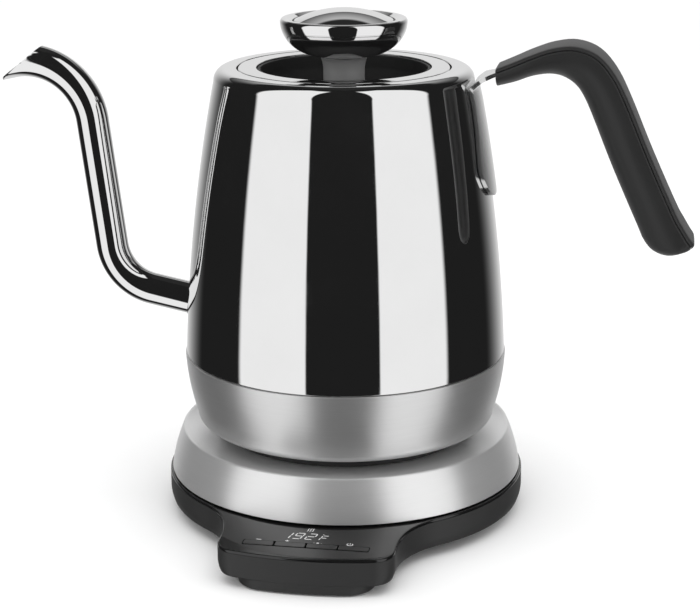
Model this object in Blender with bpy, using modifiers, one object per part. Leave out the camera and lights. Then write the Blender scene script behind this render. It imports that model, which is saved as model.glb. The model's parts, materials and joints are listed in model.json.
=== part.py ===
"""Gooseneck kettle with temperature control, standing on its power base.

Metres, +Z up. The origin is on the kettle's axis at the level the base stands on. The spout
points along -X, the handle along +X and the control nose along -Y.

Bodies that move hang from empties on their joint axes: the socket and the kettle lift along Z
and the kettle turns about Z, the lid lifts out of the neck, the flow knob turns about Z, and
each key sinks along its own origin.
"""

import math

import bmesh
import bpy
from mathutils import Vector

MM = 0.001

# Clearances
GAP = 0.3 * MM                  # between pieces that touch
RUNNING = 0.6 * MM              # between pieces that move past each other
CUT_OVER = 2.0 * MM             # how far a cutter runs past what it cuts
CUT_OVER_SMALL = 0.4 * MM       # the same where the next piece is close

# Kettle body, heights above the plane the kettle stands on
BODY_RADIUS = 67.6 * MM         # polished body at the seam
BODY_HEIGHT = 120.1 * MM        # seam to the flat top
BODY_TAPER = 5.0 * MM           # straight part of the narrowing towards the top
BODY_BOW = 10.1 * MM            # curved part of the narrowing
BODY_WALL = 1.2 * MM
SHOULDER_RADIUS = 5.0 * MM
TOP_RIM = 3.5 * MM              # flat top between the shoulder and the neck
SEAM_H = 34.9 * MM
SKIRT_DEPTH = 7.2 * MM          # vessel wall that goes down inside the brushed band
SEAM_STEP = 1.4 * MM
NECK_DEPTH = 10.1 * MM          # neck rim down to the ledge that the lid rests on
LEDGE_WIDTH = 3.0 * MM

# Brushed lower band
BAND_PROUD = 0.45 * MM          # how far the band stands out from the body
BAND_BOTTOM_H = 5.0 * MM
BAND_TAPER = 1.2 * MM
BAND_BOW = 4.7 * MM
BAND_FILLET = 4.0 * MM
BAND_WALL = 1.2 * MM
BAND_LIP = 5.0 * MM             # turned-in flange under the band

# Bottom of the kettle
FOOT_RING_WALL = 2.0 * MM
FOOT_RING_RISE = 11.0 * MM
COVER_FLOOR_H = 4.0 * MM
COVER_FLOOR_T = 2.0 * MM
HEATER_T = 2.0 * MM
HEATER_RIM = 6.0 * MM
ELEMENT_RING_RADIUS = 44.0 * MM
ELEMENT_TUBE_RADIUS = 3.5 * MM
TERMINAL_ANGLES = (80.0, 120.0)
PROBE_RADIUS = 3.0 * MM
PROBE_OFFSET = 22.0 * MM
PROBE_RISE = 12.0 * MM
PROBE_TIP = (0.6, 0.2)          # corner of its rounded tip, in shares of its radius
PROBE_TAIL = 3.0 * MM
PROBE_SEAL_T = 1.6 * MM
PROBE_SEAL_REACH = 3.0 * MM
VESSEL_SEAL_T = 1.5 * MM
VESSEL_SEAL_WIDTH = 3.5 * MM
CUTOUT_RADIUS = 11.0 * MM
CUTOUT_HEIGHT = 7.5 * MM
SCREW_SHANK = 1.5 * MM
SCREW_HEAD = 2.9 * MM
SCREW_HEAD_T = 1.3 * MM
SCREW_HEAD_CROWN = (0.8, 0.4)   # flat of a head and height of its edge, in shares of its size
BOTTOM_SCREWS = 3
BOTTOM_SCREW_LENGTH = 12.0 * MM
BOTTOM_SCREW_OFFSET = 4.0 * MM  # screw circle, outside the middle of the cover's floor

# Power connector in the middle of the base and its socket in the kettle
POST_RADIUS = 8.0 * MM
POST_RISE = 12.7 * MM           # above the plane the kettle stands on
POST_FLANGE = 22.0 * MM
POST_COLLAR = 15.6 * MM
POST_COLLAR_RISE = 1.0 * MM
POST_CHAMFER = 1.0 * MM
POST_FLANGE_T = 2.2 * MM
POST_STUB = 12.0 * MM
POST_STUB_DROP = 7.0 * MM
SOCKET_RADIUS = 18.6 * MM
SOCKET_FLANGE = 23.0 * MM
SOCKET_FLANGE_T = 2.2 * MM
SOCKET_TOP_H = 16.0 * MM
SOCKET_LOW_H = 1.5 * MM
CONTACT_HEIGHT = 1.4 * MM
CONTACT_WALL = 0.8 * MM
CONTACT_H = 7.0 * MM
CONTACT_SINK = 0.1 * MM
TERMINAL_LENGTH = 7.0 * MM

# Spout, centre line in the plane of the handle
SPOUT_RADIUS = 6.85 * MM
SPOUT_WALL = 1.0 * MM
SPOUT_ROOT_H = 53.4 * MM
SPOUT_ROOT_FALL = 1.0 * MM
SPOUT_ROOT_INSET = 4.6 * MM     # how far its root reaches in from the body's largest radius
SPOUT_LOW_REACH = 32.1 * MM     # corner of the lower bend, outside the body radius
SPOUT_LOW_RISE = 6.3 * MM
SPOUT_LOW_BEND = 22.0 * MM
SPOUT_HIGH_REACH = 44.1 * MM    # corner of the upper bend, outside the body radius
SPOUT_HIGH_RISE = 5.5 * MM      # above the body's top
SPOUT_HIGH_BEND = 28.0 * MM
SPOUT_TIP_RUN = 38.0 * MM
SPOUT_TIP_FALL = 8.5 * MM
SPOUT_HOLE_REACH = 14.0 * MM
BEAK_TOP_REACH = 61.1 * MM      # where the slanted mouth starts, outside the body radius
BEAK_TOP_RISE = 5.7 * MM
BEAK_TIP_REACH = 78.5 * MM
BEAK_TIP_DROP = 9.0 * MM
BEAK_CUTTER = 60.0 * MM

# Handle
STRAP_T = 1.6 * MM
STRAP_COLUMNS = 10
PAD_ROWS = (                    # depth below the body's top, half width
    (51.2 * MM, 4.0 * MM),
    (49.6 * MM, 8.4 * MM),
    (45.6 * MM, 13.4 * MM),
    (39.0 * MM, 16.4 * MM),
    (31.2 * MM, 15.4 * MM),
    (23.0 * MM, 13.4 * MM),
    (13.0 * MM, 12.2 * MM),
    (6.8 * MM, 12.0 * MM),
)
TANG_ROWS = (                   # reach past the grip's front, upper face against the top, half width
    (-6.2 * MM, -3.0 * MM, 11.6 * MM),
    (-3.0 * MM, -1.5 * MM, 9.0 * MM),
    (0.0 * MM, -0.5 * MM, 6.3 * MM),
    (8.0 * MM, 2.3 * MM, 6.0 * MM),
    (15.0 * MM, 5.0 * MM, 6.0 * MM),
    (23.0 * MM, 8.2 * MM, 5.5 * MM),
)
GRIP_REACH = 10.0 * MM          # from the body's top radius to the grip's front
GRIP_STATIONS = (               # inner edge x, z and outer edge x, z, from the grip's front top
    (0.9, -6.3, 0.4, 1.7),
    (8.0, -4.4, 7.2, 4.6),
    (14.9, -1.9, 14.2, 7.7),
    (21.8, -0.9, 22.8, 10.7),
    (27.3, -2.0, 32.0, 11.6),
    (32.3, -5.4, 41.0, 8.4),
    (35.8, -10.5, 48.2, 0.6),
    (39.6, -18.8, 54.3, -11.0),
    (47.8, -38.4, 63.5, -32.1),
    (58.4, -61.7, 74.1, -54.7),
    (61.4, -68.1, 77.5, -60.7),
    (65.1, -72.3, 80.1, -64.9),
    (70.5, -74.1, 81.7, -67.1),
    (76.5, -72.7, 82.0, -68.8),
)
GRIP_WIDTH = 25.0 * MM
GRIP_END_WIDTHS = {0: 0.86, 1: 0.94, 12: 0.88, 13: 0.66}
GRIP_EDGE = 1.6 * MM            # rounding between the outer face and the sides
GRIP_EDGE_FALL = 0.5 * MM
GRIP_EDGE_TUCK = 0.4 * MM
GRIP_DRAFT = 0.3 * MM
GRIP_SIDE = 3.0 * MM            # straight part of the grip's sides, at most
GRIP_SIDE_SHARE = 0.42          # of the grip's thickness
GRIP_ROUND = (0.0, 22.5, 45.0, 67.5, 90.0)
GRIP_COVER_T = 1.6 * MM
WEIGHT_LENGTH = 34.0 * MM
WEIGHT_WIDTH = 12.0 * MM
WEIGHT_T = 6.0 * MM
WEIGHT_STATION = 8
GRIP_SCREW_ROWS = (3, 4)        # rows of the tang that take a screw
GRIP_SCREW_SHANK = 1.2 * MM
GRIP_SCREW_HEAD = 2.2 * MM
GRIP_SCREW_LENGTH = 5.3 * MM
GRIP_SCREW_DROP = 5.3 * MM      # underside of the head, below the tang

# Lid, heights from the body's flat top
LID_RIM = 8.1 * MM              # polished ring, from the neck to the black recess
LID_WALL = 1.2 * MM
LID_CHAMFER = 0.5 * MM
LID_BOWL_WALL = 1.3 * MM
LID_BOWL_DEPTH = 20.8 * MM
LID_BOWL_TAPER = 2.4 * MM
LID_BOWL_STRAIGHT = 0.3         # straight upper part, share of the depth
LID_BOWL_CORNER = 4.5 * MM
GASKET_T = 1.4 * MM
PLUG_DEPTH = 28.3 * MM
PLUG_WALL = 1.4 * MM
PLUG_FLANGE_DROP = 5.4 * MM
PLUG_HOLES = 5
PLUG_HOLE_RADIUS = 3.0 * MM
PLUG_HOLE_CIRCLE = 0.7          # share of the plug's inner radius
FLOW_DISC_T = 1.2 * MM
FLOW_DISC_MARGIN = 5.0 * MM
FLOW_DISC_HOLES = 3
LID_LIP = 4.6 * MM
SEAL_T = 1.7 * MM
SEAL_WIDTH = 1.6 * MM

# Flow knob, heights from the body's flat top
STEM_RADIUS = 8.5 * MM
STEM_FLARE = 1.3 * MM
STEM_FLARE_RADIUS = 3.9 * MM
STEM_FLARE_DROP = 5.2 * MM
STEM_FLARE_TURN = 132.0
STEM_TOP = 4.2 * MM
SHAFT_RADIUS = 4.6 * MM
SHAFT_TIP_RADIUS = 3.0 * MM
KNOB_RADIUS = 26.0 * MM
KNOB_BOTTOM = 4.6 * MM
KNOB_RIM = 18.7 * MM
KNOB_WALL = 1.3 * MM
KNOB_BELLY = (0.0, 25.0, 50.0, 72.0, 90.0)
KNOB_LIP_INSET = 2.2 * MM
KNOB_LIP_RISE = 1.4 * MM
KNOB_EDGE_INSET = 0.6 * MM
KNOB_EDGE_RISE = 1.0 * MM
KNOB_CAP_RADIUS = 20.3 * MM
KNOB_CAP_GROOVE = 0.6 * MM
KNOB_CAP_TOP = 23.6 * MM
KNOB_CAP_EDGE = 18.9 * MM
KNOB_CAP_T = 5.4 * MM
KNOB_SCREW_SHANK = 1.5 * MM
KNOB_SCREW_HEAD = 2.9 * MM
KNOB_SCREW_LENGTH = 6.0 * MM

# Base, heights above the ground
BASE_MARGIN = 7.4 * MM          # steel cover's lower edge, outside the kettle's body radius
BASE_EDGE_Z = 18.0 * MM         # lower edge of the steel cover
CREST_INSET = 5.0 * MM
CREST_Z = 35.7 * MM
DISH_INSET = 9.0 * MM
DISH_Z = 34.0 * MM
COVER_WALL = 1.0 * MM
COVER_BOW = 0.6 * MM
COVER_LIP = 1.2 * MM
COVER_EDGE = 0.3 * MM
COVER_EDGE_FALL = 0.4 * MM
DISH_CURVE = 0.35               # rise of the dish's edge halfway out, share of the whole
HOUSING_PROUD = 1.0 * MM
HOUSING_WALL = 2.5 * MM
HOUSING_SHELF_T = 1.3 * MM
HOUSING_TOP_Z = 16.1 * MM
HOUSING_BELLY_Z = 8.6 * MM
HOUSING_TUCK_Z = 4.8 * MM
HOUSING_TUCK = 1.0 * MM
CHIN_INSET = 12.5 * MM
CHIN_Z = 0.6 * MM
CHIN_TOP_Z = 5.6 * MM
PLATE_Z = 1.5 * MM
PLATE_T = 2.0 * MM
NOSE_REACH = 27.0 * MM          # nose front, outside the housing's radius
NOSE_HALF_WIDTH = 35.2 * MM
NOSE_CROWN = 136.0 * MM
NOSE_CORNER = 9.0 * MM
NOSE_FILLET = 37.0 * MM
CHIN_HALF_WIDTH = 27.5 * MM
CHIN_CORNER = 12.0 * MM
CHIN_FRONT_INSET = 0.2 * MM
NOSE_SLOPE = 0.05               # fall of the nose's top towards its front
NOSE_HINGE_INSET = 7.0 * MM     # where the fall starts, inside the housing's radius
PANEL_T = 0.9 * MM
PANEL_HOLE_INSET = 11.0 * MM
PANEL_TRIM = 0.15 * MM
SUPPORT_WALL = 3.0 * MM
SUPPORT_T = 2.5 * MM
SUPPORT_WALL_RADIUS = 42.0 * MM
SUPPORT_INSET = 2.0 * MM
FOOT_RADIUS = 6.0 * MM
FOOT_STUD = 1.4 * MM
FOOT_REAR = (38.0 * MM, 36.0 * MM)
FOOT_FRONT_X = 15.0 * MM
FOOT_FRONT_INSET = 14.0 * MM    # from the nose's front
FOOT_T = 1.2 * MM
FOOT_STUD_RISE = 4.0 * MM
BASE_SCREWS = 3
BASE_SCREW_CIRCLE = 52.0 * MM
BASE_SCREW_LENGTH = 8.0 * MM
BASE_SCREW_HEAD_T = 0.8 * MM
BASE_SCREW_SINK = 0.1 * MM
GLAND_WIDTH = 9.0 * MM
GLAND_HEIGHT = 6.1 * MM
GLAND_LENGTH = 9.0 * MM
GLAND_ROUNDING = 0.4 * MM
GLAND_SINK = 1.0 * MM
GLAND_BORE_WIDTH = 7.2 * MM
GLAND_BORE_HEIGHT = 4.6 * MM
GLAND_Z = 11.3 * MM
POWER_BOARD = (52.0 * MM, 40.0 * MM, 1.6 * MM)
POWER_BOARD_Z = 6.0 * MM

# Controls on the nose
KEY_NAMES = ("minus_key", "plus_key", "hold_key", "power_key")
KEY_WIDTH = 12.0 * MM
KEY_DEPTH = 3.8 * MM
KEY_SLOT_H = 10.0 * MM
KEY_SPACING = 0.6 * MM
KEY_INSET = 11.3 * MM           # key row, behind the nose's front
KEY_PROUD = 0.3 * MM
KEY_CAP_T = 2.2 * MM
KEY_TRAVEL = 0.7 * MM
KEY_PLUNGER = 1.7 * MM
KEY_PLUNGER_INSET = 1.0 * MM
KEY_ROUNDING = 0.3 * MM
DOME_AIR = 0.1 * MM             # between a dome and its key when the key is fully down
DOME_RADIUS = 2.0 * MM
DOME_T = 0.8 * MM
DOME_CROWN = (0.6, 0.3)
CONTROL_BOARD_MARGIN = 5.7 * MM  # from the nose's inner wall, on each side
CONTROL_BOARD_DEPTH = 22.0 * MM
CONTROL_BOARD_T = 1.4 * MM
CONTROL_BOARD_INSET = 19.0 * MM
DISPLAY_SIZE = (24.0 * MM, 10.0 * MM, 2.2 * MM)
DISPLAY_INSET = 20.5 * MM

# Facets
STEPS_LARGE = 28
STEPS_MEDIUM = 20
STEPS_SMALL = 8
STEPS_HOLE = 12
TUBE_ROUNDNESS = 2
MERGE = 0.00002

# Sizes that follow from the ones above
TOP_H = SEAM_H + BODY_HEIGHT
TOP_RADIUS = BODY_RADIUS - BODY_TAPER - BODY_BOW
NECK_RADIUS = TOP_RADIUS - SHOULDER_RADIUS - TOP_RIM
LEDGE_RADIUS = NECK_RADIUS - LEDGE_WIDTH
BASE_RADIUS = BODY_RADIUS + BASE_MARGIN
HOUSING_RADIUS = BASE_RADIUS + HOUSING_PROUD
CREST_RADIUS = BASE_RADIUS - CREST_INSET
DISH_RADIUS = CREST_RADIUS - DISH_INSET
NOSE_FRONT = HOUSING_RADIUS + NOSE_REACH
KETTLE_Z = DISH_Z + GAP
LIP_RADIUS = BODY_RADIUS + BAND_PROUD - BAND_TAPER - BAND_BOW - BAND_FILLET - BAND_LIP
FOOT_RING_RADIUS = LIP_RADIUS - GAP
GRIP_FRONT = TOP_RADIUS + GRIP_REACH
HEATER_FLOOR_H = SEAM_H - SKIRT_DEPTH + HEATER_T
ELEMENT_H = SEAM_H - SKIRT_DEPTH - ELEMENT_TUBE_RADIUS - GAP
PANEL_Z = HOUSING_TOP_Z + GAP + PANEL_T
SUPPORT_RADIUS = DISH_RADIUS - SUPPORT_INSET


def clear_scene():
    for obj in list(bpy.data.objects):
        bpy.data.objects.remove(obj, do_unlink=True)


def new_collection(name):
    collection = bpy.data.collections.new(name)
    bpy.context.scene.collection.children.link(collection)
    return collection


clear_scene()
PARTS = new_collection("gooseneck_kettle")
CUTTERS = new_collection("cutters")


# Looks: colour, roughness, metallic
POLISHED = ((0.80, 0.80, 0.81), 0.08, 1.0)
BRUSHED = ((0.62, 0.62, 0.63), 0.34, 1.0)
STEEL = ((0.55, 0.55, 0.56), 0.30, 1.0)
BRASS = ((0.78, 0.60, 0.28), 0.28, 1.0)
SATIN_BLACK = ((0.030, 0.030, 0.032), 0.50, 0.0)
GLOSS_BLACK = ((0.012, 0.012, 0.014), 0.10, 0.0)
GREY_SATIN = ((0.25, 0.25, 0.26), 0.40, 0.6)
RUBBER = ((0.04, 0.04, 0.04), 0.80, 0.0)
SILICONE = ((0.55, 0.55, 0.56), 0.60, 0.0)
BOARD_GREEN = ((0.05, 0.18, 0.10), 0.55, 0.0)


def add_look(obj, look):
    colour, roughness, metallic = look
    material = bpy.data.materials.new(obj.name)
    material.use_nodes = True
    shader = material.node_tree.nodes["Principled BSDF"]
    shader.inputs["Base Color"].default_value = (*colour, 1.0)
    shader.inputs["Roughness"].default_value = roughness
    shader.inputs["Metallic"].default_value = metallic
    obj.data.materials.append(material)


def new_part(name, mesh, look, parent=None, at=(0.0, 0.0, 0.0)):
    obj = bpy.data.objects.new(name, mesh)
    obj.location = at
    obj.parent = parent
    PARTS.objects.link(obj)
    add_look(obj, look)
    return obj


def joint_empty(name, parent, at):
    empty = bpy.data.objects.new(name, None)
    empty.empty_display_size = 0.02
    empty.location = at
    empty.parent = parent
    PARTS.objects.link(empty)
    return empty


def mesh_of(name, bm):
    mesh = bpy.data.meshes.new(name)
    bm.to_mesh(mesh)
    bm.free()
    return mesh


def add_screw(obj, steps):
    screw = obj.modifiers.new("turn", "SCREW")
    screw.axis = "Z"
    screw.angle = math.tau
    screw.steps = steps
    screw.render_steps = steps
    screw.use_merge_vertices = True
    screw.merge_threshold = MERGE
    screw.use_smooth_shade = True


def turned(name, look, profiles, steps=STEPS_LARGE, parent=None, at=(0.0, 0.0, 0.0)):
    """Solids of revolution about the object's Z. Each profile runs down its outer side; one
    that starts and ends on the axis is a solid, any other is a closed ring."""
    bm = bmesh.new()
    for profile in profiles:
        verts = [bm.verts.new((radius, 0.0, z)) for radius, z in profile]
        for first, second in zip(verts, verts[1:]):
            bm.edges.new((first, second))
        if profile[0][0] > 0.0:
            bm.edges.new((verts[-1], verts[0]))
    obj = new_part(name, mesh_of(name, bm), look, parent, at)
    add_screw(obj, steps)
    return obj


def cylinder(bm, radius, low, high, at=(0.0, 0.0), segments=STEPS_SMALL):
    """Adds an upright cylinder to a bmesh."""
    made = bmesh.ops.create_cone(bm, cap_ends=True, segments=segments,
                                 radius1=radius, radius2=radius, depth=high - low)
    offset = Vector((at[0], at[1], (low + high) / 2.0))
    bmesh.ops.translate(bm, vec=offset, verts=made["verts"])


def box_mesh(name, size, bevel=0.0, segments=1):
    bm = bmesh.new()
    bmesh.ops.create_cube(bm, size=1.0)
    bmesh.ops.scale(bm, vec=Vector(size), verts=bm.verts)
    if bevel > 0.0:
        bmesh.ops.bevel(bm, geom=list(bm.edges), offset=bevel, segments=segments,
                        profile=0.5, affect="EDGES", material=-1)
    return mesh_of(name, bm)


def loft_mesh(name, rings, closed):
    """A skin through rings of equal length. A closed loft joins its last ring to its first;
    an open one has a flat cap at each end."""
    bm = bmesh.new()
    rows = [[bm.verts.new(point) for point in ring] for ring in rings]
    pairs = list(zip(rows, rows[1:]))
    if closed:
        pairs.append((rows[-1], rows[0]))
    for lower, upper in pairs:
        for index in range(len(lower)):
            following = (index + 1) % len(lower)
            bm.faces.new((lower[index], lower[following], upper[following], upper[index]))
    if not closed:
        bm.faces.new(list(reversed(rows[0])))
        bm.faces.new(rows[-1])
    bmesh.ops.recalc_face_normals(bm, faces=bm.faces)
    return mesh_of(name, bm)


def loft(name, look, rings, closed, parent=None):
    return new_part(name, loft_mesh(name, rings, closed), look, parent)


def cutter(name, mesh, parent=None, at=(0.0, 0.0, 0.0), turn=(0.0, 0.0, 0.0)):
    obj = bpy.data.objects.new(name, mesh)
    obj.location = at
    obj.rotation_euler = turn
    obj.parent = parent
    obj.display_type = "WIRE"
    obj.hide_render = True
    CUTTERS.objects.link(obj)
    return obj


def cut(obj, tool):
    boolean = obj.modifiers.new("cut_" + tool.name, "BOOLEAN")
    boolean.operation = "DIFFERENCE"
    boolean.solver = "EXACT"
    boolean.object = tool


def cylinder_cutter(name, radius, low, high, spots, parent=None, segments=STEPS_SMALL):
    bm = bmesh.new()
    for spot in spots:
        cylinder(bm, radius, low, high, spot, segments)
    return cutter(name, mesh_of(name, bm), parent)


def arc(centre, radius, start, end, count):
    """Points along an arc, angles in degrees, both ends included."""
    points = []
    for index in range(count + 1):
        angle = math.radians(start + (end - start) * index / count)
        x = centre[0] + radius * math.cos(angle)
        y = centre[1] + radius * math.sin(angle)
        points.append((x, y))
    return points


def circle_spots(radius, count, start=0.0):
    spots = []
    for index in range(count):
        angle = math.radians(start) + math.tau * index / count
        spots.append((radius * math.cos(angle), radius * math.sin(angle)))
    return spots


def add_screws(name, spots, low, length, shank, head, head_t, parent=None):
    """Pan-head screws pointing up, one object each, their heads resting at a given height."""
    flat, rim = SCREW_HEAD_CROWN
    profile = [(0.0, length), (shank, length), (shank, head_t), (head, head_t),
               (head, rim * head_t), (flat * head, 0.0), (0.0, 0.0)]
    for number, spot in enumerate(spots, 1):
        turned(f"{name}_{number}", STEEL, [profile], STEPS_SMALL, parent, (spot[0], spot[1], low))


# ---------------------------------------------------------------- kettle body

def body_radius(h):
    """Outer radius of the polished body at a height above the standing plane."""
    share = (h - SEAM_H) / BODY_HEIGHT
    return BODY_RADIUS - BODY_TAPER * share - BODY_BOW * share * share


def band_radius(h):
    """Outer radius of the brushed band, which narrows towards its lower edge."""
    share = (SEAM_H - h) / (SEAM_H - BAND_BOTTOM_H)
    return BODY_RADIUS + BAND_PROUD - BAND_TAPER * share - BAND_BOW * share * share


def add_vessel(kettle):
    shoulder_h = TOP_H - SHOULDER_RADIUS
    shoulder_r = body_radius(shoulder_h)
    flat_r = shoulder_r - SHOULDER_RADIUS
    rows = 7
    heights = [shoulder_h + (SEAM_H + GAP - shoulder_h) * row / rows for row in range(rows + 1)]
    skirt_h = SEAM_H - SKIRT_DEPTH
    step_r = BODY_RADIUS - SEAM_STEP
    outer = [(NECK_RADIUS, TOP_H - NECK_DEPTH), (NECK_RADIUS, TOP_H)]
    outer += arc((flat_r, shoulder_h), SHOULDER_RADIUS, 90.0, 0.0, 3)
    outer += [(body_radius(h), h) for h in heights[1:]]
    outer += [(step_r, SEAM_H + GAP), (step_r, skirt_h)]
    inner = [(step_r - BODY_WALL, skirt_h), (step_r - BODY_WALL, SEAM_H + GAP + BODY_WALL)]
    inner += [(body_radius(h) - BODY_WALL, h) for h in reversed(heights[:-1])]
    inner += [(flat_r, TOP_H - BODY_WALL), (NECK_RADIUS + BODY_WALL, TOP_H - BODY_WALL)]
    ledge_low = TOP_H - NECK_DEPTH - BODY_WALL
    inner += [(NECK_RADIUS + BODY_WALL, ledge_low), (LEDGE_RADIUS, ledge_low)]
    inner += [(LEDGE_RADIUS, TOP_H - NECK_DEPTH)]
    vessel = turned("vessel", POLISHED, [outer + inner], parent=kettle)
    cut(vessel, spout_hole_cutter(kettle))


def add_lower_band(kettle):
    rows = 4
    lowest = BAND_BOTTOM_H + BAND_FILLET
    heights = [SEAM_H + (lowest - SEAM_H) * row / rows for row in range(rows + 1)]
    turn = (band_radius(lowest) - BAND_FILLET, lowest)
    outer = [(band_radius(h), h) for h in heights]
    outer += arc(turn, BAND_FILLET, 0.0, -90.0, 3)[1:]
    outer += [(LIP_RADIUS, BAND_BOTTOM_H)]
    inner = [(LIP_RADIUS, BAND_BOTTOM_H + BAND_WALL)]
    inner += arc(turn, BAND_FILLET - BAND_WALL, -90.0, 0.0, 3)
    inner += [(band_radius(h) - BAND_WALL, h) for h in reversed(heights[:-1])]
    turned("lower_band", BRUSHED, [outer + inner], parent=kettle)


def add_heater(kettle):
    rim_r = BODY_RADIUS - SEAM_STEP - BODY_WALL - GAP
    low = SEAM_H - SKIRT_DEPTH
    rim_top = HEATER_FLOOR_H + HEATER_RIM
    plate = turned("heater_plate", STEEL, [[
        (0.0, HEATER_FLOOR_H), (rim_r - HEATER_T, HEATER_FLOOR_H),
        (rim_r - 0.5 * HEATER_T, rim_top), (rim_r, rim_top), (rim_r, low), (0.0, low),
    ]], parent=kettle)
    probe_hole = cylinder_cutter("probe_hole", PROBE_RADIUS + GAP, low - CUT_OVER,
                                 HEATER_FLOOR_H + CUT_OVER, [(PROBE_OFFSET, 0.0)], kettle)
    cut(plate, probe_hole)

    ring = arc((ELEMENT_RING_RADIUS, ELEMENT_H), ELEMENT_TUBE_RADIUS, 90.0, -225.0, 7)
    turned("heating_element", STEEL, [ring], parent=kettle)

    top = ELEMENT_H - ELEMENT_TUBE_RADIUS - GAP
    for number, angle in enumerate(TERMINAL_ANGLES, 1):
        spot = circle_spots(ELEMENT_RING_RADIUS, 1, angle)[0]
        turned(f"element_terminal_{number}", BRASS, [[
            (0.0, top), (SCREW_SHANK, top), (SCREW_SHANK, top - TERMINAL_LENGTH),
            (0.0, top - TERMINAL_LENGTH),
        ]], STEPS_SMALL, kettle, (spot[0], spot[1], 0.0))

    cutout_top = low - GAP
    turned("thermal_cutout", SATIN_BLACK, [[
        (0.0, cutout_top), (CUTOUT_RADIUS, cutout_top),
        (CUTOUT_RADIUS, cutout_top - CUTOUT_HEIGHT), (0.0, cutout_top - CUTOUT_HEIGHT),
    ]], STEPS_MEDIUM, kettle)


def add_probe(kettle):
    low = SEAM_H - SKIRT_DEPTH
    seal_top = low - GAP
    seal_low = seal_top - PROBE_SEAL_T
    flat, fall = PROBE_TIP
    tip = HEATER_FLOOR_H + PROBE_RISE
    at = (PROBE_OFFSET, 0.0, 0.0)
    turned("temperature_probe", STEEL, [[
        (0.0, tip), (flat * PROBE_RADIUS, tip - fall * PROBE_RADIUS),
        (PROBE_RADIUS, tip - PROBE_RADIUS), (PROBE_RADIUS, seal_low - PROBE_TAIL),
        (0.0, seal_low - PROBE_TAIL),
    ]], STEPS_SMALL, kettle, at)
    inner = PROBE_RADIUS + GAP
    outer = PROBE_RADIUS + PROBE_SEAL_REACH
    turned("probe_seal", SILICONE, [[
        (inner, seal_top), (outer, seal_top), (outer, seal_low), (inner, seal_low),
    ]], STEPS_SMALL, kettle, at)


def add_vessel_seal(kettle):
    top = SEAM_H - SKIRT_DEPTH - GAP
    low = top - VESSEL_SEAL_T
    outer = min(BODY_RADIUS - SEAM_STEP, band_radius(low) - BAND_WALL - GAP)
    inner = outer - VESSEL_SEAL_WIDTH
    turned("vessel_seal", SILICONE, [[(inner, top), (outer, top), (outer, low), (inner, low)]],
           parent=kettle)


def add_bottom_cover(kettle):
    hole = SOCKET_RADIUS + RUNNING
    inner = FOOT_RING_RADIUS - FOOT_RING_WALL
    floor_top = COVER_FLOOR_H + COVER_FLOOR_T
    cover = turned("bottom_cover", SATIN_BLACK, [[
        (inner, FOOT_RING_RISE), (FOOT_RING_RADIUS, FOOT_RING_RISE),
        (FOOT_RING_RADIUS, 0.0), (inner, 0.0), (inner, COVER_FLOOR_H),
        (hole, COVER_FLOOR_H), (hole, floor_top), (inner, floor_top),
    ]], parent=kettle)
    screw_circle = (hole + inner) / 2.0 + BOTTOM_SCREW_OFFSET
    spots = circle_spots(screw_circle, BOTTOM_SCREWS, 90.0)
    holes = cylinder_cutter("bottom_screw_holes", SCREW_SHANK + GAP, COVER_FLOOR_H - CUT_OVER,
                            floor_top + CUT_OVER, spots, kettle, STEPS_HOLE)
    cut(cover, holes)
    head_low = COVER_FLOOR_H - GAP - SCREW_HEAD_T
    add_screws("bottom_screw", spots, head_low, BOTTOM_SCREW_LENGTH,
               SCREW_SHANK, SCREW_HEAD, SCREW_HEAD_T, kettle)


# ---------------------------------------------------------------- power socket

def contact_ring(inner, level):
    """Section of a square contact ring whose inner radius and middle height are given."""
    top = level + CONTACT_HEIGHT / 2.0
    low = level - CONTACT_HEIGHT / 2.0
    outer = inner + CONTACT_WALL
    return [(inner, top), (outer, top), (outer, low), (inner, low)]


def add_socket(socket):
    """Round socket under the kettle. Its heights are from the plane the kettle stands on."""
    bore = POST_RADIUS + RUNNING
    groove = bore + CONTACT_WALL + 2.0 * GAP
    low = SOCKET_LOW_H
    roof = POST_RISE + RUNNING
    flange_low = COVER_FLOOR_H + COVER_FLOOR_T + RUNNING
    flange_top = flange_low + SOCKET_FLANGE_T
    half = CONTACT_HEIGHT / 2.0 + GAP
    turned("socket_body", SATIN_BLACK, [[
        (0.0, SOCKET_TOP_H), (SOCKET_RADIUS, SOCKET_TOP_H), (SOCKET_RADIUS, flange_top),
        (SOCKET_FLANGE, flange_top), (SOCKET_FLANGE, flange_low), (SOCKET_RADIUS, flange_low),
        (SOCKET_RADIUS, low), (bore, low), (bore, CONTACT_H - half), (groove, CONTACT_H - half),
        (groove, CONTACT_H + half), (bore, CONTACT_H + half), (bore, roof), (0.0, roof),
    ]], STEPS_MEDIUM, socket)
    turned("socket_contact", BRASS, [contact_ring(bore + GAP, CONTACT_H)], STEPS_MEDIUM, socket)


# ---------------------------------------------------------------- spout

def rounded_path(corners, radii, steps=6):
    """Straight runs through the corners, with an arc of the given radius at each inner one."""
    points = [corners[0]]
    for before, corner, after, radius in zip(corners, corners[1:], corners[2:], radii):
        into = (corner - before).normalized()
        out = (after - corner).normalized()
        turn = into.angle(out)
        reach = radius * math.tan(turn / 2.0)
        side = (out - into).normalized()
        centre = corner + side * (radius / math.cos(turn / 2.0))
        start = corner - into * reach - centre
        normal = start.normalized()
        for index in range(steps + 1):
            angle = turn * index / steps
            points.append(centre + radius * (normal * math.cos(angle) + into * math.sin(angle)))
    points.append(corners[-1])
    return points


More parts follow.
